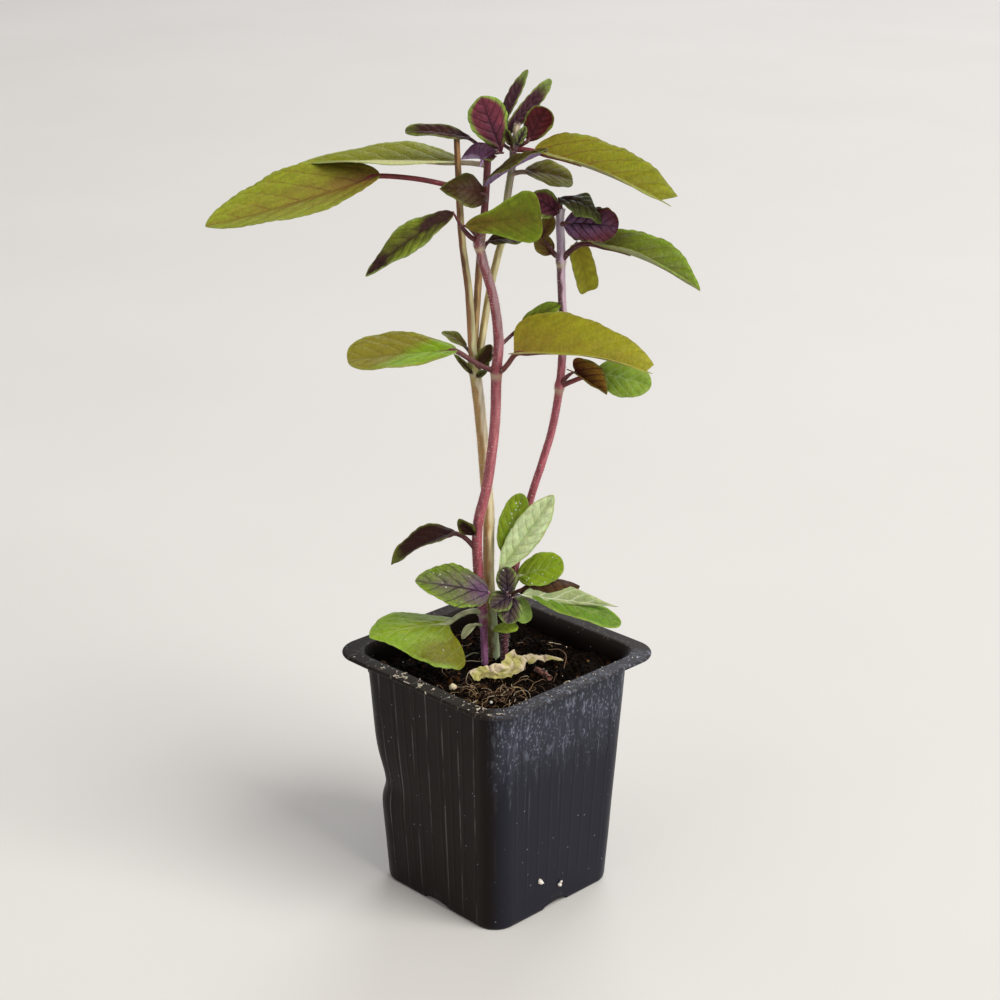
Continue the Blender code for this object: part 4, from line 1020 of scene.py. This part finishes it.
# %% Colourings
Look = namedtuple(
    "Look",
    "main edge rim blush reach vein strength under stalk rough puff teeth wave pairs tip half",
    defaults=(5.0, 0.0, None),
)
DARK_STALK, RED_STALK, GREEN_STALK = (0.085, 0.018, 0.020), (0.15, 0.016, 0.024), (0.34, 0.38, 0.20)
LOOKS = {
    "red_olive": Look((0.235, 0.272, 0.018), (0.22, 0.27, 0.03), 1.2, (0.20, 0.12, 0.03), 0.40,
        (0.14, 0.030, 0.018), 0.55, (0.27, 0.26, 0.07), RED_STALK, 0.42, 0.34, 0.03, 0.6, 4.2),
    "bronze": Look((0.195, 0.215, 0.004), (0.21, 0.24, 0.03), 1.2, (0.15, 0.075, 0.012), 0.22,
        (0.13, 0.025, 0.018), 0.6, (0.27, 0.26, 0.07), RED_STALK, 0.42, 0.34, 0.03, 0.6, 4.4),
    "spring": Look((0.195, 0.215, 0.006), (0.26, 0.32, 0.09), 1.0, (0.15, 0.15, 0.02), 0.3,
        (0.12, 0.13, 0.02), 0.3, (0.34, 0.38, 0.18), (0.36, 0.30, 0.20), 0.42, 0.25, 0.02, 0.5, 4.5, 0.0,
            ((0.44, 0.44, 0.17), -1, 0.0, 0.42)),
    "olive": Look((0.272, 0.265, 0.010), (0.26, 0.26, 0.03), 0.8, (0.21, 0.15, 0.02), 0.35,
        (0.22, 0.16, 0.02), 0.22, (0.30, 0.28, 0.09), (0.13, 0.03, 0.025), 0.45, 0.22, 0.02, 0.5, 4.6),
    "khaki": Look((0.36, 0.36, 0.02), (0.30, 0.34, 0.04), 0.8, (0.27, 0.22, 0.02), 0.3, (0.22, 0.16, 0.02),
        0.4, (0.30, 0.28, 0.09), DARK_STALK, 0.45, 0.22, 0.03, 0.3, 6.0),
    "ochre": Look((0.150, 0.125, 0.010), (0.17, 0.15, 0.03), 0.8, (0.09, 0.035, 0.014), 0.5,
        (0.07, 0.015, 0.012), 0.5, (0.18, 0.14, 0.05), DARK_STALK, 0.42, 0.25, 0.02, 0.4),
    "olive_fold": Look((0.205, 0.185, 0.018), (0.22, 0.24, 0.03), 1.0, (0.16, 0.14, 0.02), 0.3,
        (0.12, 0.06, 0.02), 0.3, (0.28, 0.28, 0.09), (0.10, 0.02, 0.024), 0.40, 0.32, 0.02, 0.6, 4.6, 0.0,
            ((0.17, 0.28, 0.010), -1, -1.2, 0.45)),
    "olive_green": Look((0.14, 0.16, 0.018), (0.20, 0.25, 0.04), 0.8, (0.13, 0.10, 0.02), 0.4,
        (0.10, 0.04, 0.02), 0.4, (0.26, 0.28, 0.09), DARK_STALK, 0.40, 0.32, 0.03, 0.6),
    "leaf_green": Look((0.120, 0.185, 0.004), (0.17, 0.26, 0.02), 1.6, (0.095, 0.085, 0.018), 0.42,
        (0.060, 0.030, 0.012), 0.5, (0.26, 0.30, 0.08), (0.075, 0.012, 0.016), 0.36, 0.34, 0.03, 0.6, 5.0),
    "olive_pink": Look((0.28, 0.29, 0.012), (0.19, 0.24, 0.05), 0.8, (0.075, 0.045, 0.02), 0.4,
        (0.30, 0.17, 0.13), 0.55, (0.24, 0.22, 0.08), (0.28, 0.20, 0.14), 0.45, 0.28, 0.03, 0.4),
    "moss": Look((0.125, 0.175, 0.008), (0.18, 0.26, 0.02), 0.7, (0.105, 0.075, 0.008), 0.62,
        (0.09, 0.10, 0.01), 0.3, (0.18, 0.20, 0.04), DARK_STALK, 0.30, 0.22, 0.015, 0.4),
    "dusk": Look((0.20, 0.26, 0.02), (0.24, 0.33, 0.09), 0.8, (0.040, 0.013, 0.014), 0.60,
        (0.045, 0.030, 0.014), 0.75, (0.20, 0.17, 0.08), (0.09, 0.016, 0.022), 0.40, 0.50, 0.04, 0.8, 7.0,
            0.9),
    "maroon": Look((0.026, 0.007, 0.004), (0.11, 0.13, 0.02), 0.8, (0.022, 0.006, 0.005), 0.6,
        (0.012, 0.003, 0.003), 0.5, (0.10, 0.04, 0.03), DARK_STALK, 0.42, 0.34, 0.035, 0.7, 5.0, -0.95),
    "brown": Look((0.052, 0.040, 0.005), (0.13, 0.15, 0.03), 0.7, (0.048, 0.016, 0.008), 0.6,
        (0.026, 0.010, 0.006), 0.6, (0.16, 0.12, 0.05), DARK_STALK, 0.42, 0.40, 0.035, 0.6, 6.0),
    "red_brown": Look((0.34, 0.185, 0.020), (0.19, 0.22, 0.04), 0.8, (0.10, 0.030, 0.012), 0.5,
        (0.070, 0.008, 0.010), 0.9, (0.20, 0.13, 0.06), (0.10, 0.014, 0.018), 0.42, 0.30, 0.04, 0.6),
    "plum_dark": Look((0.038, 0.010, 0.004), (0.12, 0.16, 0.025), 0.7, (0.034, 0.010, 0.010), 0.6,
        (0.016, 0.005, 0.006), 0.6, (0.14, 0.08, 0.12), DARK_STALK, 0.40, 0.35, 0.04, 0.6, 6.0, -0.5),
    "plum_green": Look((0.185, 0.036, 0.055), (0.24, 0.40, 0.06), 1.3, (0.110, 0.026, 0.048), 0.6,
        (0.022, 0.005, 0.012), 0.85, (0.20, 0.12, 0.16), DARK_STALK, 0.40, 0.42, 0.04, 0.7, 6.0),
    "plum_red": Look((0.090, 0.010, 0.012), (0.17, 0.24, 0.04), 0.55, (0.080, 0.014, 0.020), 0.6,
        (0.028, 0.004, 0.007), 0.7, (0.20, 0.12, 0.16), DARK_STALK, 0.40, 0.42, 0.03, 0.7, 6.0),
    # On these young tip leaves the pale lilac vein colour is a painted highlight.
    "plum_tip": Look((0.058, 0.018, 0.026), (0.20, 0.28, 0.06), 0.35, (0.045, 0.012, 0.020), 0.5,
        (0.20, 0.11, 0.15), 0.40, (0.14, 0.08, 0.11), DARK_STALK, 0.42, 0.45, 0.10, 0.5, 9.0, -0.95),
    # The pale lilac blush of this leaf is a painted sheen.
    "violet": Look((0.115, 0.024, 0.036), (0.12, 0.13, 0.03), 0.5, (0.185, 0.095, 0.185), 0.66,
        (0.014, 0.003, 0.008), 0.95, (0.20, 0.12, 0.18), DARK_STALK, 0.40, 0.60, 0.08, 1.0, 6.0),
    "dark_green": Look((0.100, 0.125, 0.024), (0.13, 0.18, 0.04), 0.6, (0.040, 0.020, 0.022), 0.6,
        (0.012, 0.010, 0.006), 0.6, (0.13, 0.11, 0.09), DARK_STALK, 0.34, 0.60, 0.09, 1.6, 6.0),
    "lilac": Look((0.090, 0.040, 0.085), (0.30, 0.22, 0.34), 0.7, (0.050, 0.016, 0.036), 0.6,
        (0.030, 0.010, 0.024), 0.6, (0.14, 0.08, 0.13), DARK_STALK, 0.45, 0.35, 0.05, 0.5, 6.0),
    "two_faced": Look((0.085, 0.080, 0.012), (0.13, 0.16, 0.03), 0.6, (0.060, 0.030, 0.010), 0.5,
        (0.030, 0.014, 0.020), 0.7, (0.34, 0.22, 0.42), DARK_STALK, 0.40, 0.42, 0.05, 0.7, 7.0),
    "fresh": Look((0.195, 0.295, 0.008), (0.22, 0.33, 0.04), 0.8, (0.13, 0.19, 0.012), 0.3,
        (0.30, 0.38, 0.10), 0.45, (0.25, 0.34, 0.09), GREEN_STALK, 0.30, 0.40, 0.03, 0.5),
    "gloss_green": Look((0.200, 0.300, 0.028), (0.20, 0.31, 0.05), 0.8, (0.11, 0.19, 0.02), 0.3,
        (0.27, 0.36, 0.14), 0.5, (0.25, 0.34, 0.09), (0.16, 0.03, 0.03), 0.28, 0.42, 0.02, 0.5),
    # The dark olive half colour here is painted shade on the near half of the fold.
    "fresh_fold": Look((0.185, 0.300, 0.016), (0.23, 0.35, 0.04), 1.2, (0.17, 0.21, 0.01), 0.35,
        (0.33, 0.42, 0.12), 0.42, (0.24, 0.32, 0.08), GREEN_STALK, 0.30, 0.42, 0.02, 0.5, 3.6, 0.0,
            ((0.135, 0.135, 0.003), -1, 0.30, 0.24)),
    "bright": Look((0.20, 0.33, 0.05), (0.28, 0.40, 0.09), 0.8, (0.16, 0.24, 0.04), 0.3, (0.34, 0.44, 0.16),
        0.4, (0.28, 0.36, 0.12), GREEN_STALK, 0.36, 0.30, 0.03, 0.5),
    "mint": Look((0.66, 0.80, 0.46), (0.40, 0.52, 0.20), 0.6, (0.32, 0.42, 0.12), 0.3, (0.30, 0.39, 0.12),
        0.55, (0.44, 0.54, 0.24), GREEN_STALK, 0.40, 0.24, 0.02, 0.4, 7.0),
    "veined": Look((0.130, 0.205, 0.004), (0.17, 0.26, 0.018), 1.0, (0.130, 0.065, 0.125), 0.50,
        (0.024, 0.008, 0.022), 1.0, (0.24, 0.26, 0.12), (0.22, 0.10, 0.16), 0.34, 0.62, 0.04, 0.7, 4.0),
    "slate": Look((0.110, 0.096, 0.046), (0.18, 0.25, 0.06), 0.9, (0.052, 0.030, 0.042), 0.7,
        (0.014, 0.006, 0.012), 1.0, (0.20, 0.17, 0.15), (0.18, 0.09, 0.12), 0.36, 0.55, 0.04, 0.7, 5.0),
    "pale": Look((0.34, 0.36, 0.20), (0.40, 0.42, 0.25), 0.5, (0.24, 0.25, 0.12), 0.4, (0.22, 0.23, 0.10),
        0.4, (0.40, 0.40, 0.26), GREEN_STALK, 0.5, 0.15, 0.02, 0.3),
    "pale_rib": Look((0.090, 0.190, 0.004), (0.21, 0.32, 0.04), 0.7, (0.15, 0.24, 0.03), 0.24,
        (0.28, 0.32, 0.13), 0.5, (0.28, 0.33, 0.15), GREEN_STALK, 0.36, 0.32, 0.03, 0.7, 5.0),
    "pale_strand": Look((0.255, 0.330, 0.110), (0.36, 0.42, 0.20), 0.5, (0.36, 0.42, 0.22), 0.35,
        (0.58, 0.62, 0.44), 0.75, (0.30, 0.36, 0.16), (0.56, 0.58, 0.42), 0.45, 0.30, 0.03, 0.4, 5.0),
    "brown_edge": Look((0.100, 0.050, 0.014), (0.48, 0.44, 0.12), 0.8, (0.048, 0.020, 0.012), 0.7,
        (0.022, 0.008, 0.007), 0.6, (0.18, 0.15, 0.07), DARK_STALK, 0.40, 0.32, 0.05, 1.0),
}
print("colourings:", len(LOOKS))

# %% Blade surface
Sheet = namedtuple("Sheet", "points normal ribs u v margin")


def half_width(leaf, u):
    """w/2 · (u / m)^a · ((1 - u) / (1 - m))^(a (1 - m) / m), with m the widest point and a the bluntness.

    A neck takes its share off the width at 0.42 m, and a notched tip is cut off before the width is nought.
    """
    m, u = leaf.widest, u * (1 - 0.02 * leaf.notch)
    rising = (u / m) ** leaf.blunt
    falling = ((1 - u) / (1 - m)) ** (leaf.blunt * (1 - m) / m)
    waist = 1 - leaf.neck * np.exp(-(((u / m - 0.42) / 0.4) ** 2))
    return leaf.width / 2 * rising * falling * waist


def blade_sheet(leaf, u, v):
    """The blade's middle surface at along u (0 to 1) and across v (-1 to 1), its normals and its vein map.

    A straight midrib bowed by arch, with both halves raised by the fold and bent by the curl. To that
    come teeth on the edge, waves that grow with v³, and puffs between side veins that sweep towards the
    tip. A lobe draws the broad base back past the stalk, and a notch splits the tip.
    """
    look = LOOKS[leaf.look]
    u, v = u[:, None], v[None]
    base, tip = np.array(leaf.base, float), np.array(leaf.tip, float)
    length = np.linalg.norm(tip - base)
    chord = (tip - base) / length
    face = np.array(leaf.face, float)
    face = unit(face - chord * (face @ chord))
    spine = base + (tip - base) * u[..., None] + face * (leaf.arch * 4 * u * (1 - u))[..., None]
    tangent = unit((tip - base) + face * (leaf.arch * 4 * (1 - 2 * u))[..., None])
    side = unit(np.cross(tangent, face))
    up = np.cross(side, tangent)
    half = half_width(leaf, u)
    rows = 9 if length > 30 else 6 if length > 16 else 5
    coarse = -0.018 * np.cos(math.pi * rows * u)
    fine = look.teeth * (np.abs(np.sin(math.pi * length / 3.4 * u + 0.4)) - 0.5)
    reach = half * (1 + (coarse + fine) * np.abs(v) ** 5) * (1 - (leaf.skew - leaf.twist * u) * np.sign(v))
    soft = np.sqrt(v**2 + 0.004) - 0.063
    fold = math.radians(leaf.fold)
    out = v * reach * math.cos(fold)
    lift = soft * reach * math.sin(fold) - leaf.curl * half * v**2
    across = v * reach
    count = look.pairs * min(1.0, 0.55 + length / 60) + length / 40
    sweep = max(0.6, 0.25 * (9 - look.pairs))
    phase = count * (u - sweep * np.abs(across) / length - 0.10 * v**2) + 0.35 * (v > 0)
    gap = 0.9 * length / count / math.hypot(1.0, sweep)
    calm = smoothstep(0.0, 0.12, u) * smoothstep(1.0, 0.82, u)
    puff = np.abs(np.sin(math.pi * phase)) ** 0.7 * (1 - np.abs(v) ** 4) * smoothstep(0.0, 0.25, np.abs(v))
    size = min(1.0, gap / 4.0)
    groove = 0.35 * size * np.exp(-((across / 0.9) ** 2)) * calm
    lift = lift + look.puff * size * calm * (1.5 * puff - 0.7) - groove
    seed = int(abs(leaf.tip[0] * 7 + leaf.tip[2] * 3)) % 97
    swing = np.sin(2 * math.pi * (1.6 * u + 0.13 * seed) + 1.4 * np.sign(v))
    spread = min(1.0, leaf.width / 20 + 0.25)
    lift = lift + look.wave * spread * calm * np.abs(v) ** 3 * swing
    sheet = spine + side * out[..., None] + up * lift[..., None]
    sheet = sheet - tangent * (leaf.lobe * half * v**2 * (1 - u) ** 4)[..., None]
    sheet = sheet - tangent * (leaf.notch * (1 - np.abs(v)) * smoothstep(0.8, 1.0, u))[..., None]
    rough = look.puff * 0.30 * spread * ripple(sheet, 3.6, seed) * smoothstep(0.0, 0.4, np.abs(v)) * calm
    sheet = sheet + up * rough[..., None]
    normal = unit(np.cross(np.gradient(sheet, axis=0), np.gradient(sheet, axis=1)))
    normal = normal * np.sign((normal * up).sum(-1, keepdims=True))
    fine_across = across * (1 + 4 / leaf.width)
    ribs = np.stack([phase, max(gap, 2.1) + 0 * phase, fine_across], axis=-1)
    return Sheet(sheet, normal, ribs, u + 0 * v, v + 0 * u, (1 - np.abs(v)) * half)


def half_share(look, sheet):
    """Where the half's own colour lies: past start across, and short of end along, further on that side."""
    _, side, start, end = look.half
    across = sheet.v * side + 0.04 * ripple(sheet.points, 8.0, 71)
    share = smoothstep(start - 0.08, start + 0.08 + 0.4 * max(start, 0.0), across)
    return share * smoothstep(end + 0.14, end - 0.14, sheet.u - 0.35 * across)


def blade_tint(look, sheet, under):
    """Main colour, blushed near the midrib and stalk, with the edge colour within the rim and at the tip."""
    u, v = sheet.u, np.abs(sheet.v)
    blotch = 0.28 * ripple(sheet.points, 8.0, 71) + 0.16 * ripple(sheet.points, 3.0, 72)
    near_base = 0.9 * smoothstep(0.42, 0.05, u)
    blush = look.reach * (1.75 - 1.35 * v - 0.75 * u + blotch + near_base)
    blush = blush + max(look.tip, 0) * smoothstep(0.62, 0.88, u)
    tint = blend(look.main, look.blush, np.clip(blush, 0, 1))
    if look.half:
        tint = blend(tint, look.half[0], half_share(look, sheet))
    rim = smoothstep(look.rim * 1.5, look.rim * 0.3, sheet.margin + 0.5 * blotch) * smoothstep(0.08, 0.25, u)
    rim = 0.9 * rim + max(-look.tip, 0) * smoothstep(0.74, 0.96, u)
    tint = blend(tint, look.edge, np.clip(rim, 0, 1))
    tint = tint * (1 + 0.12 * ripple(sheet.points, 2.2, 73))[..., None]
    return blend(tint, look.under, 0.85) if under else tint


def blade_patch(leaf):
    """A blade's two sheets and edge, as rings: the top from left to right, then the underside back."""
    look = LOOKS[leaf.look]
    length = math.dist(leaf.base, leaf.tip)
    rows, columns = int(20 + 1.25 * length), int(14 + 0.9 * leaf.width)
    u = 0.5 - 0.5 * np.cos(math.pi * np.linspace(0.035, 0.98, rows))
    v = np.sin(math.pi / 2 * np.linspace(-1, 1, columns))
    sheet = blade_sheet(leaf, u, v)
    thick = 0.20 - 0.09 * sheet.v**4
    keel = 0.42 * np.exp(-((sheet.ribs[..., 2] / 0.6) ** 2)) * (1 - sheet.u) ** 0.6 * min(1.0,
        leaf.width / 14)
    over = sheet.points + sheet.normal * thick[..., None]
    beneath = sheet.points - sheet.normal * (thick + keel)[..., None]
    rings = np.concatenate([over, beneath[:, ::-1]], axis=1)
    tint = np.concatenate([blade_tint(look, sheet, False), blade_tint(look, sheet, True)[:, ::-1]], 1)
    tint = np.clip(np.concatenate([tint, np.full((*tint.shape[:2], 1), look.rough)], -1), 0.002, 1)
    strength = look.strength * (1 - 0.55 * smoothstep(0.45, 0.95, sheet.u))
    if look.half:
        strength = strength * (1 - 0.6 * half_share(look, sheet))
    strength = np.concatenate([strength, 0.6 * strength[:, ::-1]], axis=1)[..., None]
    vein = np.concatenate([np.broadcast_to(look.vein, tint[..., :3].shape), strength], -1)
    both = np.concatenate([sheet.ribs, sheet.ribs[:, ::-1]], axis=1)
    return loft(to_world(rings), {"tint": tint, "vein": vein, "ribs": both}, flat=True)


# %% [markdown]
# The stalk starts inside the stem, bows to the blade's base and runs on under the
# midrib, thinning as it goes. Where the blade turns back sharply, it ends at the base.

# %% Leaf stalks
STALK_RADIUS, TURN_LIMIT = 1.0, 0.45


def stalk_patch(leaf):
    """A tube along root, raised middle and base, and then under the midrib."""
    look = LOOKS[leaf.look]
    t = np.linspace(0.0, 1.0, 4)[:, None]
    knots = np.array(leaf.root) * (1 - t) + np.array(leaf.base) * t
    knots[:, 2] += 4 * leaf.bow * (t * (1 - t))[:, 0]
    u = np.array([0.02, 0.10, 0.20, 0.34])
    sheet, normal = blade_sheet(leaf, u, np.array([-0.01, 0.0, 0.01]))[:2]
    way = unit(knots[-1] - knots[-2])
    if way @ unit(sheet[1, 1] - sheet[0, 1]) > TURN_LIMIT:
        knots = np.concatenate([knots[:-1], sheet[:, 1] - normal[:, 1] * 0.3])
    else:
        knots[-1] += way * 0.6
    path = along(knots, 8)
    share = np.linspace(0.0, 1.0, len(path))
    thin = min(1.0, 0.45 + leaf.width / 30)
    radii = STALK_RADIUS * thin * (0.95 + 0.4 * np.exp(-share / 0.08) - 0.55 * smoothstep(0.45, 1.0, share))
    rings, ways = tube_rings(path, radii, 12)
    tint = np.array(look.stalk) * (1 + 0.2 * ripple(rings, 4.0, 81))[..., None]
    data = np.concatenate([np.clip(tint, 0.002, 1), np.full((*rings.shape[:2], 1), 0.45)], -1)
    return loft(to_world(rings), {"tint": data}), rings, ways


# %% [markdown]
# The leaf material reads three values that each point carries: its colour, its vein
# colour and its place between veins. A vein is drawn where the distance to the nearest
# side vein, or to the midrib, is under its width, and a cell pattern fills in the fine
# net. The same masks push the veins in and puff up the blade between them.

# %% Leaf material
blade = Paint("leaf_blade", {"Specular IOR Level": 0.13, "Subsurface Weight": 0.15,
    "Subsurface Scale": 0.001})
phase, gap, across = blade.parts(blade.value("ribs", "Vector"))
wobble = blade.noise(2.6) * 0.16 - 0.08
place_in_gap = abs(blade.node("Math", {"operation": "FRACT"}, {0: phase + wobble + 0.5}) - 0.5)
side_vein = (place_in_gap * gap - abs(across).step(6.0, 0.0) * 0.16).step(0.42, 0.04)
midrib = abs(across).step(0.62, 0.18)
net_cells = {"Vector": blade.place, "Scale": 640.0}
net = blade.node("TexVoronoi", {"feature": "DISTANCE_TO_EDGE"}, net_cells).step(0.14, 0.0)
veins = midrib.math("MAXIMUM", midrib, side_vein * 0.8)
lines = veins.math("MAXIMUM", veins, net * 0.3)
dark = blade.noise(1.6, 4.0).step(0.38, 0.78) * 0.30
shaded = blade.mix(0.55, blade.value("tint", "Color"), (0.0, 0.004, 0.0))
tint = blade.mix(dark, blade.value("tint", "Color"), shaded)
colour = blade.mix(lines * blade.value("vein", "Alpha"), tint, blade.value("vein", "Color"))
blade.set({"Base Color": colour, "Roughness": blade.value("tint", "Alpha") + blade.noise(4.0,
    2.0) * 0.14 - 0.03})
blade.bump(1 - veins * 0.7 - net * 0.4 + blade.noise(0.9, 2.0) * 0.3, 0.26, 0.6)

# %% Leaves on their stems
for name, rows in (("red", RED_LEAVES), ("pale", PALE_LEAVES), ("purple", PURPLE_LEAVES)):
    node = f"stem_{name}"
    piece(f"{name}_leaves", [blade_patch(leaf) for leaf in rows], blade, node, 75)
    stalks = [stalk_patch(leaf) for leaf in rows]
    piece(f"{name}_stalks", [patch for patch, _, _ in stalks], skin, node)
    fuzz = [hairs(rings, ways, 60, 0.45, 90 + k) for k, (_, rings, ways) in enumerate(stalks)]
    piece(f"{name}_stalk_hairs", fuzz, down, node)

# %% [markdown]
# ## Water on the leaves
#
# The lower leaves were sprayed. A drop is a low dome on the leaf's top sheet, clear and
# smooth. It is bright because it mirrors the lamps, and its near-white colour adds a
# painted highlight.

# %% Drops
def drops(leaf, count, seed, largest):
    """Low domes on a blade's top: rings of radius r cos a, raised 0.55 r sin a along the normal."""
    rng = np.random.default_rng(seed)
    u, v = np.sort(rng.uniform(0.12, 0.88, count)), np.linspace(-0.85, 0.85, 41)
    sheet, normal = blade_sheet(leaf, u, v)[:2]
    made = []
    for k, j in enumerate(rng.integers(0, 41, count)):
        centre, way = sheet[k, j], normal[k, j]
        first = unit(np.cross(way, (0.3, 0.2, 0.9)))
        second = np.cross(way, first)
        radius = largest * rng.uniform(0.3, 1.0)
        rise = np.linspace(-0.2, 1.35, 4)[:, None, None]
        turn = np.linspace(0, 2 * math.pi, 8, endpoint=False)[None, :, None]
        flat = np.cos(rise) * (np.cos(turn) * first + np.sin(turn) * second)
        made.append(loft(to_world(centre + way * 0.2 + radius * (flat + 0.55 * np.sin(rise) * way))))
    return made


# The near-white base colour is a painted highlight on the drops.
water = Paint("water", {"Roughness": 0.08, "IOR": 1.33, "Transmission Weight": 0.5,
    "Base Color": (0.95, 1.0, 0.92)})
wet = [(PURPLE_LEAVES[10], 14, 101, 0.4), (PURPLE_LEAVES[11], 12, 102, 0.32),
    (PURPLE_LEAVES[9], 9, 103, 0.28)]
wet += [(RED_LEAVES[8], 9, 104, 0.35), (RED_LEAVES[9], 7, 105, 0.3), (PURPLE_LEAVES[12], 5, 106, 0.3)]
water_drops = [drop for row in wet for drop in drops(*row)]
piece("water_drops", water_drops, water, None, 80)

# %% [markdown]
# ## Things lying on the soil
#
# A leaf that has dried to a cream-coloured twist lies across the front, and a short bit
# of reddish bark beside it. The dried leaf is a strip along a path, with a width, a tilt
# and a fold of its own at each step, creased by folded noise. Ten points along it in the
# picture give the path: each lies where the camera's ray comes down to a guessed
# height, and all are then lifted a little. The bark is a tube roughened along its
# length.

# %% Dried leaf
DRY_PICKS = [(472, 678), (480, 674.5), (490, 672.5), (501, 671.5), (509, 668), (516, 661.5), (525, 657.5)]
DRY_PICKS += [(538, 656), (552, 657.5), (563, 661)]
DRY_HEIGHTS = np.array([91.6, 92.4, 92.9, 93.3, 93.8, 94.4, 94.6, 94.3, 93.4, 91.8])
DRY_LIFT = 0.17
DRY_STEPS = (0.0, 0.12, 0.30, 0.42, 0.52, 0.60, 0.75, 0.90, 1.0)
DRY_HALVES = (2.2, 2.6, 2.8, 4.2, 4.4, 2.8, 2.4, 1.6, 0.25)
DRY_TILTS = (30, 35, 40, 60, 55, 25, 20, 15, 10)
DRY_FOLDS = (10, 20, -15, -20, 10, -35, -40, -30, 0)
CREAM, DRY_GREEN, CREASE_SHADE = (0.66, 0.55, 0.38), (0.36, 0.35, 0.07), (0.07, 0.04, 0.025)


def dried_patch():
    """A strip of two halves folded about its path and tilted to the front, raised by the size of a noise.

    Where that noise changes sign the strip has a sharp crease, which is painted darker as shade.
    """
    path = along(seen_at(DRY_PICKS, DRY_HEIGHTS - DRY_LIFT) + (0, 0, DRY_LIFT), 24)
    run = np.concatenate([[0.0], np.cumsum(np.linalg.norm(np.diff(path, axis=0), axis=1))])
    u, v = np.linspace(0, 1, 110), np.linspace(-1, 1, 26)[None]
    spine = np.stack([np.interp(u, run / run[-1], path[:, k]) for k in range(3)], -1)
    half, tilt, fold = (np.interp(u, DRY_STEPS, row)[:, None] for row in (DRY_HALVES, DRY_TILTS, DRY_FOLDS))
    half = half * (1 + 0.15 * ripple(spine, 3.0, 124))[:, None]
    tilt, fold = np.radians(tilt), np.radians(fold)
    tangent = unit(np.gradient(spine, axis=0))
    level = unit(np.cross(tangent, (0.0, 0.0, 1.0)))
    up = np.cross(level, tangent)
    side = (level * np.cos(tilt) - up * np.sin(tilt))[:, None]
    face = (up * np.cos(tilt) + level * np.sin(tilt))[:, None]
    sheet = spine[:, None] + side * (v * half * np.cos(fold))[..., None]
    sheet = sheet + face * (np.abs(v) * half * np.sin(fold))[..., None]
    folds = ripple(sheet, 7.0, 121)
    crumple = 1.1 * np.abs(folds) + 0.5 * np.abs(ripple(sheet, 2.8, 122)) - 0.6
    fresh = smoothstep(0.0, 0.7, ripple(sheet, 6.0, 123) + 0.6 * (v > 0) * (np.abs(u - 0.5) > 0.12)[:, None])
    sheet = sheet + face * (crumple * np.minimum(1.0, half / 2.2))[..., None]
    normal = unit(np.cross(np.gradient(sheet, axis=0), np.gradient(sheet, axis=1)))
    normal = normal * np.sign((normal * face).sum(-1, keepdims=True)) * 0.15
    # The creases are painted darker as shade.
    tint = blend(blend(CREAM, DRY_GREEN, 0.8 * fresh), CREASE_SHADE, 0.6 * smoothstep(0.25, 0.0, np.abs(folds)))
    tint = np.concatenate([tint, tint[:, ::-1]], axis=1)
    rings = np.concatenate([sheet + normal, (sheet - normal)[:, ::-1]], axis=1)
    return loft(to_world(rings), tinted(rings, tint, 0.8), flat=True)


dry = Paint("dry_leaf", {"Specular IOR Level": 0.25, "Roughness": 0.8})
fleck = dry.noise(1.4, 4.0).step(0.52, 0.72)
dried = dry.mix(fleck * 0.5, dry.value("tint", "Color"), (0.17, 0.09, 0.035))
dry.set({"Base Color": dry.mix(dry.noise(5.0, 2.0).step(0.55, 0.75) * 0.5, dried, (0.26, 0.25, 0.07))})
dry.bump(dry.noise(0.8, 3.0, dry.stretched(0.4, 1, 1)), 0.35, 0.8)
piece("dried_leaf", [dried_patch()], dry, "dry_leaf", 40)

# %% Bark
twig_path = along([(15, -6.2, 91.5), (16.6, -9.1, 92.1), (18.4, -12.2, 92.3), (19.9, -15, 92)], 12)
twig_rings, twig_ways = tube_rings(twig_path, np.full(len(twig_path), 1.05), 24)
bark_relief = 0.16 * ripple(twig_rings * (0.5, 0.5, 1.0), 1.3, 111) + 0.12 * ripple(twig_rings, 3.0, 112)
twig_rings = twig_rings + twig_ways * bark_relief[..., None]
bark = Paint("bark", {"Specular IOR Level": 0.25, "Roughness": 0.85})
bark_tone = bark.mix(bark.noise(1.6, 3.0).step(0.4, 0.6), (0.045, 0.018, 0.012), (0.20, 0.085, 0.07))
bark.set({"Base Color": bark.mix(bark.noise(0.8, 2.0).step(0.6, 0.7) * 0.8, bark_tone, (0.36, 0.26, 0.20))})
bark.bump(bark.noise(0.7, 4.0), 0.3, 0.9)
piece("bark_bit", [loft(to_world(twig_rings))], bark, "twig")
